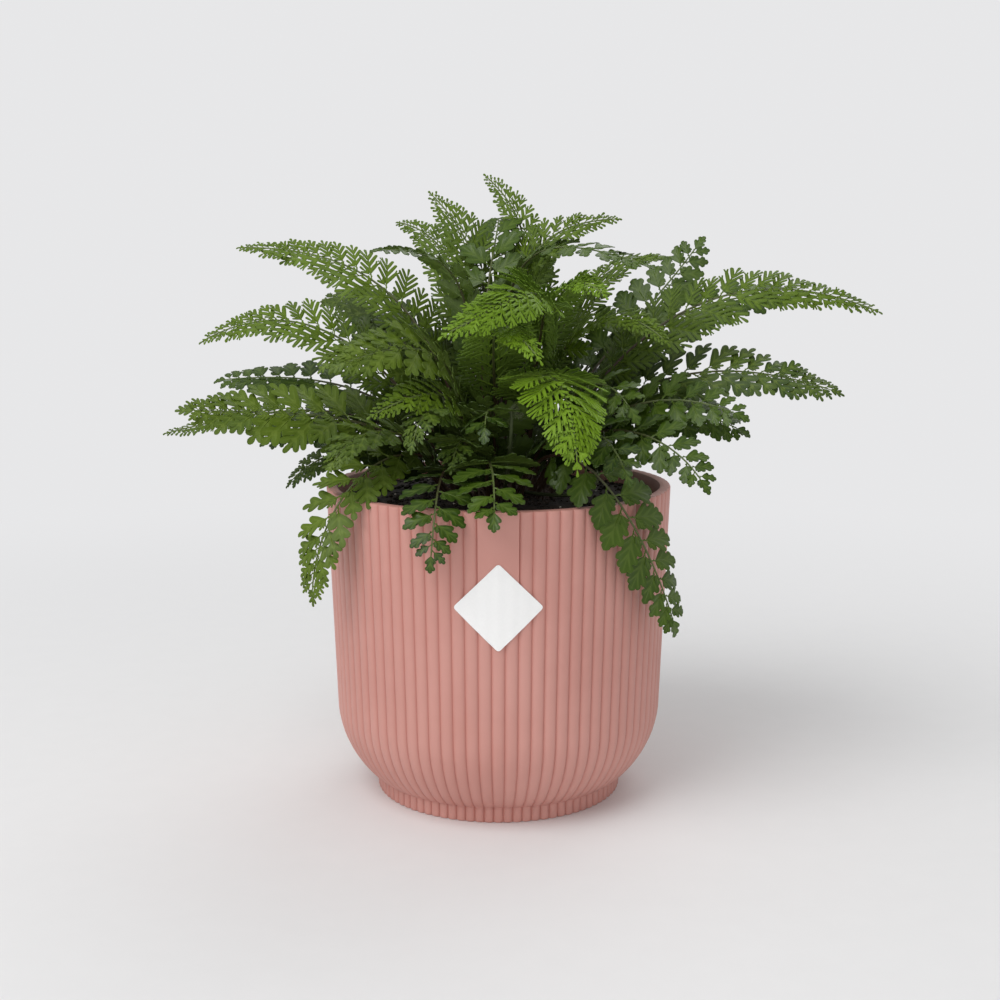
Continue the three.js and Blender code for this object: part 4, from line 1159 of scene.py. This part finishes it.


# %% [markdown]
# ## Leaf green
# No leaf of this fern is one green. Young fronds are yellow-green and old ones are dark and a
# little blue, the undersides are paler, veins are lighter than the blade and every leaflet
# differs a little from the next. Low down in the plant, near the foot of each frond, the leaves
# are painted darker as shade, for the little light that reaches them there. The marks on the mesh
# carry all of that, where one even green would look like plastic.
# The gloss is that of a waxy skin: sharp on broad leaflets, duller on the feathery ones.

# %% The leaf finishes
Green = namedtuple("Green", "young old vein rough")
GREENS = {
    "fine": Green((0.11, 0.185, 0.004), (0.04, 0.075, 0.005), (0.17, 0.25, 0.02), 0.5),
    "feather": Green((0.145, 0.26, 0.006), (0.06, 0.12, 0.006), (0.22, 0.34, 0.03), 0.5),
    "cut": Green((0.105, 0.165, 0.007), (0.034, 0.066, 0.007), (0.16, 0.225, 0.03), 0.46),
    "broad": Green((0.075, 0.135, 0.006), (0.024, 0.052, 0.005), (0.115, 0.175, 0.025), 0.34),
}


def leaf_finish(kind):
    green = GREENS[kind]
    finish = Finish(f"{kind}_leaf_green", green.old, green.rough, specular=0.3)
    cloud = finish.noise(140, detail=3)
    age = finish.mark("age") + 0.35 * (finish.mark("tone") - 0.5) + 0.3 * (cloud - 0.5)
    blade = finish.mix(green.young, green.old, age)
    veined = finish.mix(blade, green.vein, finish.mark("vein") ** 5 * 0.5)
    pale_under = finish.mix(veined, (0.12, 0.18, 0.035), finish.mark("under") * 0.5)
    # Painted shade: deep is the old green at three tenths of its brightness. Near the foot of each
    # frond, low in the plant, the leaf colour is mixed towards it, for the little light that
    # reaches there.
    deep = tuple(0.3 * part for part in green.old)
    painted_light_share = finish.step(finish.mark("along"), 0.12, 0.62) * 0.75 + 0.25
    colour = finish.mix(deep, pale_under, painted_light_share)
    cells = finish.noise(2200, detail=2)
    height = cells * 0.35 + finish.mark("vein") ** 3 * 0.65
    roughness = green.rough + 0.2 * cloud - 0.06
    return finish.finish(colour, roughness, height, depth=0.00012)


def stalk_finish():
    finish = Finish("wiry_stalk", (0.05, 0.03, 0.015), 0.45)
    streak = finish.noise(500, detail=3)
    brown = finish.mix((0.022, 0.011, 0.006), (0.06, 0.03, 0.014), streak)
    height = finish.mark("along") - 0.35 * finish.mark("age") + 0.2 * streak
    colour = finish.mix(brown, (0.11, 0.15, 0.04), finish.step(height, 0.2, 0.75))
    return finish.finish(colour, roughness=0.38 + 0.2 * streak, height=streak, depth=0.00015)


stalk_green = stalk_finish()
leaf_greens = {kind: leaf_finish(kind) for kind in GREENS}
print("finishes:", stalk_green.name, *(green.name for green in leaf_greens.values()))

# %% Grow every frond
LEAF_SLOTS = {"fine": "leaf_fine", "feather": "leaf_fine", "cut": "leaf_cut", "broad": "leaf_broad"}
crowd = Crowd()
faces = 0
for index, frond in enumerate(FRONDS):
    draw = random.Random(100 + index)
    curve = Curve(frond)
    shape = Shape("vein", "under", "tone", "along", "age")
    add_stalk(shape, frond, curve)
    add_leaflets(shape, frond, curve, crowd, draw)
    add_tip(shape, frond, curve, draw)
    finishes, slot = [leaf_greens[frond.kind], stalk_green], LEAF_SLOTS[frond.kind]
    piece = make_piece(f"{frond.name}_frond", shape, finishes, [frond.name], crease=50)
    faces += len(piece.data.polygons)
print(len(FRONDS), "fronds with", len(crowd.trees), "leaflets and", faces, "faces")

# %% [markdown]
# ## The crown
# All stalks come from a short thick rootstock. Little of it shows: a low dome of old stalk
# bases under a coat of narrow brown scales. A hair system could make the coat, but a part that
# is used elsewhere needs real faces: the dome is a heap like the soil's, pushed about by noise,
# and the scales are slim spikes that lean outwards.

# %% The rootstock and its scales
CROWN_TOP = 169.0
CROWN_BOTTOM = 149.0
CROWN_SINK = 0.9
CROWN_RINGS, CROWN_SIDES = 18, 72
SCALES = 900


def crown_height(radius):
    """The height of the dome, without its lumps"""
    return lerp(CROWN_TOP, SOIL_TOP + SOIL_MOUND, smooth(radius, 6, CROWN_RADIUS))


def lumpy_crown(x, y):
    """The top of the rootstock at a place"""
    place = Vector((x, y, 0))
    lump = 1.1 * noise.noise(place * 0.16) + 0.6 * noise.noise(place * 0.5)
    return crown_height(math.hypot(x, y)) - CROWN_SINK + lump


def crown_shape():
    shape = Shape("tone")
    radii = [(CROWN_RADIUS - 1.5) * step / CROWN_RINGS for step in range(1, CROWN_RINGS + 1)]
    side = [(CROWN_RADIUS - 2, CROWN_BOTTOM)]
    add_heap(shape, radii, CROWN_SIDES, lumpy_crown, side, tone=0.3)
    draw = random.Random(9)
    for _ in range(SCALES):
        add_scale(shape, draw)
    return shape


def add_scale(shape, draw):
    """A narrow pointed scale, three-sided, that leans away from the middle"""
    radius = CROWN_RADIUS * math.sqrt(draw.random()) * 0.97
    heading = draw.uniform(0, 360)
    foot = polar(radius, heading, crown_height(radius) - 1.2)
    lean = direction(heading + draw.uniform(-50, 50), draw.uniform(15, 70))
    length = draw.uniform(2.2, 5.0)
    side = lean.cross(UP).normalized()
    lift = side.cross(lean)
    tone = draw.random()
    corners = [
        shape.point(foot + side * (u * 0.5) + lift * (v * 0.28), tone=tone)
        for u, v in ((-1, 0), (1, 0), (0, 1))
    ]
    tip = shape.point(foot + lean * length + UP * draw.uniform(-0.6, 0.4), tone=tone)
    shape.face(*corners)
    shape.fan(tip, corners)


def rootstock_finish():
    finish = Finish("rootstock_scales", (0.04, 0.02, 0.01), 0.7)
    fibre = finish.noise(900, detail=4)
    tone = finish.mark("tone") * fibre * 1.6
    colour = finish.mix((0.018, 0.009, 0.005), (0.11, 0.06, 0.028), tone)
    return finish.finish(colour, roughness=0.55 + 0.3 * fibre, height=fibre, depth=0.0004)


scaly = rootstock_finish()
crown = make_piece("scaly_crown", crown_shape(), [scaly], ["crown"], crease=50)
print("crown:", len(crown.data.polygons), "faces")

# %% [markdown]
# ## Two croziers
# Young fronds come up rolled like the scroll of a violin and covered in soft hairs. Each is one
# tube along a curve that turns into a spiral, with short spikes for the hairs. The spiral gets
# tighter and the tube thinner towards the middle of the roll. A curve object with a bevel would
# do too, but the tube of the stalks is at hand and takes the same marks.

# %% The curve of a crozier: a neck and a coil
COIL_TURNS = 1.4
COIL_FACING = 60
NECK_STEPS, COIL_STEPS = 16, 40
CROZIER_WIDTH = 2.0
CROZIER_SECTION = [tuple(polar(0.5, 45 * i).xy) for i in range(8)]


def neck_poses(start, below, neck, side):
    """Up from the crown along a curve that ends in the coil"""
    for step in range(NECK_STEPS):
        share = step / NECK_STEPS
        rest = 1 - share
        at = start * rest**2 + below * 2 * rest * share + neck * share**2
        along = ((below - start) * rest + (neck - below) * share).normalized()
        yield Pose(at, along, side, side.cross(along)), CROZIER_WIDTH - 0.3 * share


def coil_poses(centre, facing, coil):
    """Round and round, closer and thinner"""
    flank = facing.cross(UP)
    for step in range(COIL_STEPS + 1):
        share = step / COIL_STEPS
        turn = share * COIL_TURNS * 2 * math.pi
        radius = coil * (1 - 0.66 * share)
        at = centre + facing * (radius * math.cos(turn)) + UP * (radius * math.sin(turn))
        along = facing * -math.sin(turn) + UP * math.cos(turn)
        yield Pose(at, along, flank, flank.cross(along)), CROZIER_WIDTH - 0.9 * share


def crozier_poses(seat_radius, angle, reach, height, coil):
    start = polar(seat_radius, angle, SEAT_HEIGHT)
    neck = polar(reach, angle, height)
    below = neck - UP * (6 + 0.4 * (height - SEAT_HEIGHT))
    facing = polar(1, angle - COIL_FACING)
    stations = [*neck_poses(start, below, neck, polar(1, angle).cross(UP))]
    stations += coil_poses(neck - facing * coil, facing, coil)
    poses, widths = map(list, zip(*stations))
    return [sink(poses)] + poses, [CROZIER_WIDTH] + widths


# %% A crozier and its hairs
HAIRS_FROM = 4


def crozier_shape(row, hairs, draw):
    """A tube along the curve, and short three-sided spikes on it, more on the coil"""
    shape = Shape("along", "hair")
    poses, widths = crozier_poses(*row)
    shares = [i / (len(poses) - 1) for i in range(len(poses))]
    add_tube(shape, poses, widths, CROZIER_SECTION, finish=0, along=shares)
    for _ in range(hairs):
        anywhere = draw.randrange(HAIRS_FROM, len(poses))
        on_coil = draw.randrange(NECK_STEPS + 1, len(poses))
        at = draw.choice((anywhere, on_coil))
        pose, width = poses[at], widths[at]
        turn = draw.uniform(0, 2 * math.pi)
        out = pose.side * math.cos(turn) + pose.lift * math.sin(turn)
        foot = pose.at + out * (width * 0.4)
        flank = out.cross(pose.along)
        ring = [(0.16 * math.cos(i * 2.1), 0.16 * math.sin(i * 2.1)) for i in range(3)]
        places = [foot + pose.along * u + flank * v for u, v in ring]
        corners = [shape.point(place, along=shares[at]) for place in places]
        tip = foot + out * draw.uniform(0.7, 1.5) + pose.along * draw.uniform(-0.5, 0.5)
        shape.face(*corners)
        shape.fan(shape.point(tip, along=shares[at], hair=1.0), corners)
    return shape


def crozier_finish():
    finish = Finish("woolly_crozier", (0.3, 0.36, 0.16), 0.6)
    mottle = finish.noise(700, detail=3)
    up = finish.mark("along") + 0.3 * (mottle - 0.5)
    skin = finish.mix((0.035, 0.045, 0.014), (0.12, 0.17, 0.05), up)
    colour = finish.mix(skin, (0.26, 0.26, 0.17), finish.mark("hair"))
    return finish.finish(colour, roughness=0.5 + 0.3 * mottle, height=mottle, depth=0.0002)


wool = crozier_finish()
for name, row, hairs in [
    ("crozier_tall", (25, -84, 62, 212, 3.6), 420),
    ("crozier_low", (31, -51, 76, 178, 3.4), 260),
]:
    shape = crozier_shape(row, hairs, random.Random(hairs))
    piece = make_piece(f"{name}_roll", shape, [wool], [name], crease=50)
    print(piece.name, len(piece.data.polygons), "faces")

# %% [markdown]
# ## Floor, light and camera
# The stage is a pale floor that fades into a pale room, so that the plant is all there is to
# look at. Round the pot the floor is real and takes a soft shadow; further out it turns into
# the same light as the room, by its distance from the pot. The light is that of a large window
# to the left: one big soft lamp there, a weak low one in front, and one behind the plant for
# its far side. The room lights the plant less than it shines for the camera, or the shadows
# among the leaves would be grey.

# %% The floor
FLOOR_HALF = 12.0
ROOM = (0.8, 0.8, 0.81)


def floor_finish():
    finish = Finish("pale_floor", (0.8, 0.8, 0.8), 0.8)
    away = finish.node("VectorMath", {"operation": "LENGTH"}, {0: finish.place()}, output="Value")
    grain = finish.noise(60, detail=2)
    finish.finish(finish.mix((0.79, 0.79, 0.79), (0.81, 0.81, 0.81), grain))
    glow = finish.node("Emission", None, {"Color": (*ROOM, 1), "Strength": 1.0})
    shader = Wire(finish, finish.shader.outputs[0])
    fade = finish.step(away, 0.2, 0.95)
    blend = finish.node("MixShader", None, {0: fade, 1: shader, 2: glow})
    finish.feed(finish.tree.nodes["Material Output"].inputs["Surface"], blend)
    return finish.material


floor_mesh = bpy.data.meshes.new("floor")
corners = [(x * FLOOR_HALF, y * FLOOR_HALF, 0) for x, y in ((-1, -1), (1, -1), (1, 1), (-1, 1))]
floor_mesh.from_pydata(corners, [], [(0, 1, 2, 3)])
floor_mesh.materials.append(floor_finish())
floor = bpy.data.objects.new("floor", floor_mesh)
bpy.context.collection.objects.link(floor)
print("the floor is", 2 * FLOOR_HALF, "m wide")

# %% The room's light and the lamps
SKY_LIGHT = 0.58
world = bpy.data.worlds.new("room")
world.use_nodes = True
sky = world.node_tree
sky.nodes["Background"].inputs["Color"].default_value = (*ROOM, 1)
rays = sky.nodes.new("ShaderNodeLightPath")
strength = sky.nodes.new("ShaderNodeMapRange")
strength.inputs["To Min"].default_value = SKY_LIGHT
sky.links.new(rays.outputs["Is Camera Ray"], strength.inputs["Value"])
sky.links.new(strength.outputs["Result"], sky.nodes["Background"].inputs["Strength"])
bpy.context.scene.world = world
bpy.context.scene.view_settings.view_transform = "Standard"
LAMP_TARGET = Vector((0, 0, 0.15))


def add_lamp(name, place, size, power):
    """A round soft lamp that looks at the pot"""
    lamp = bpy.data.lights.new(name, "AREA")
    lamp.shape = "DISK"
    lamp.size = size
    lamp.energy = power
    holder = bpy.data.objects.new(name, lamp)
    holder.location = place
    holder.rotation_euler = (LAMP_TARGET - Vector(place)).to_track_quat("-Z", "Y").to_euler()
    bpy.context.collection.objects.link(holder)


add_lamp("window_left", (-0.85, -0.95, 1.75), size=1.6, power=25)
add_lamp("low_front", (-0.1, -1.7, 0.65), size=1.0, power=3)
add_lamp("soft_back", (0.7, 1.3, 1.5), size=1.6, power=9)
print("lamps:", [light.name for light in bpy.data.lights])

# %% [markdown]
# The camera stands 0.8 m in front of the pot's axis and looks down a little less than ten
# degrees, with a 54 mm lens. That gives the ellipse of the rim the opening it should have.

# %% The camera
CAMERA_PLACE = (0.0008, -0.8, 0.2933)
CAMERA_TILT = 9.643
CAMERA_LENS = 54.04
camera = bpy.data.objects.new("camera", bpy.data.cameras.new("camera"))
camera.data.lens = CAMERA_LENS
camera.data.sensor_width = 36.0
camera.location = CAMERA_PLACE
camera.rotation_euler = (math.radians(90 - CAMERA_TILT), 0, 0)
bpy.context.collection.objects.link(camera)
bpy.context.scene.camera = camera
print("the camera is at", CAMERA_PLACE, "and looks down by", CAMERA_TILT, "degrees")
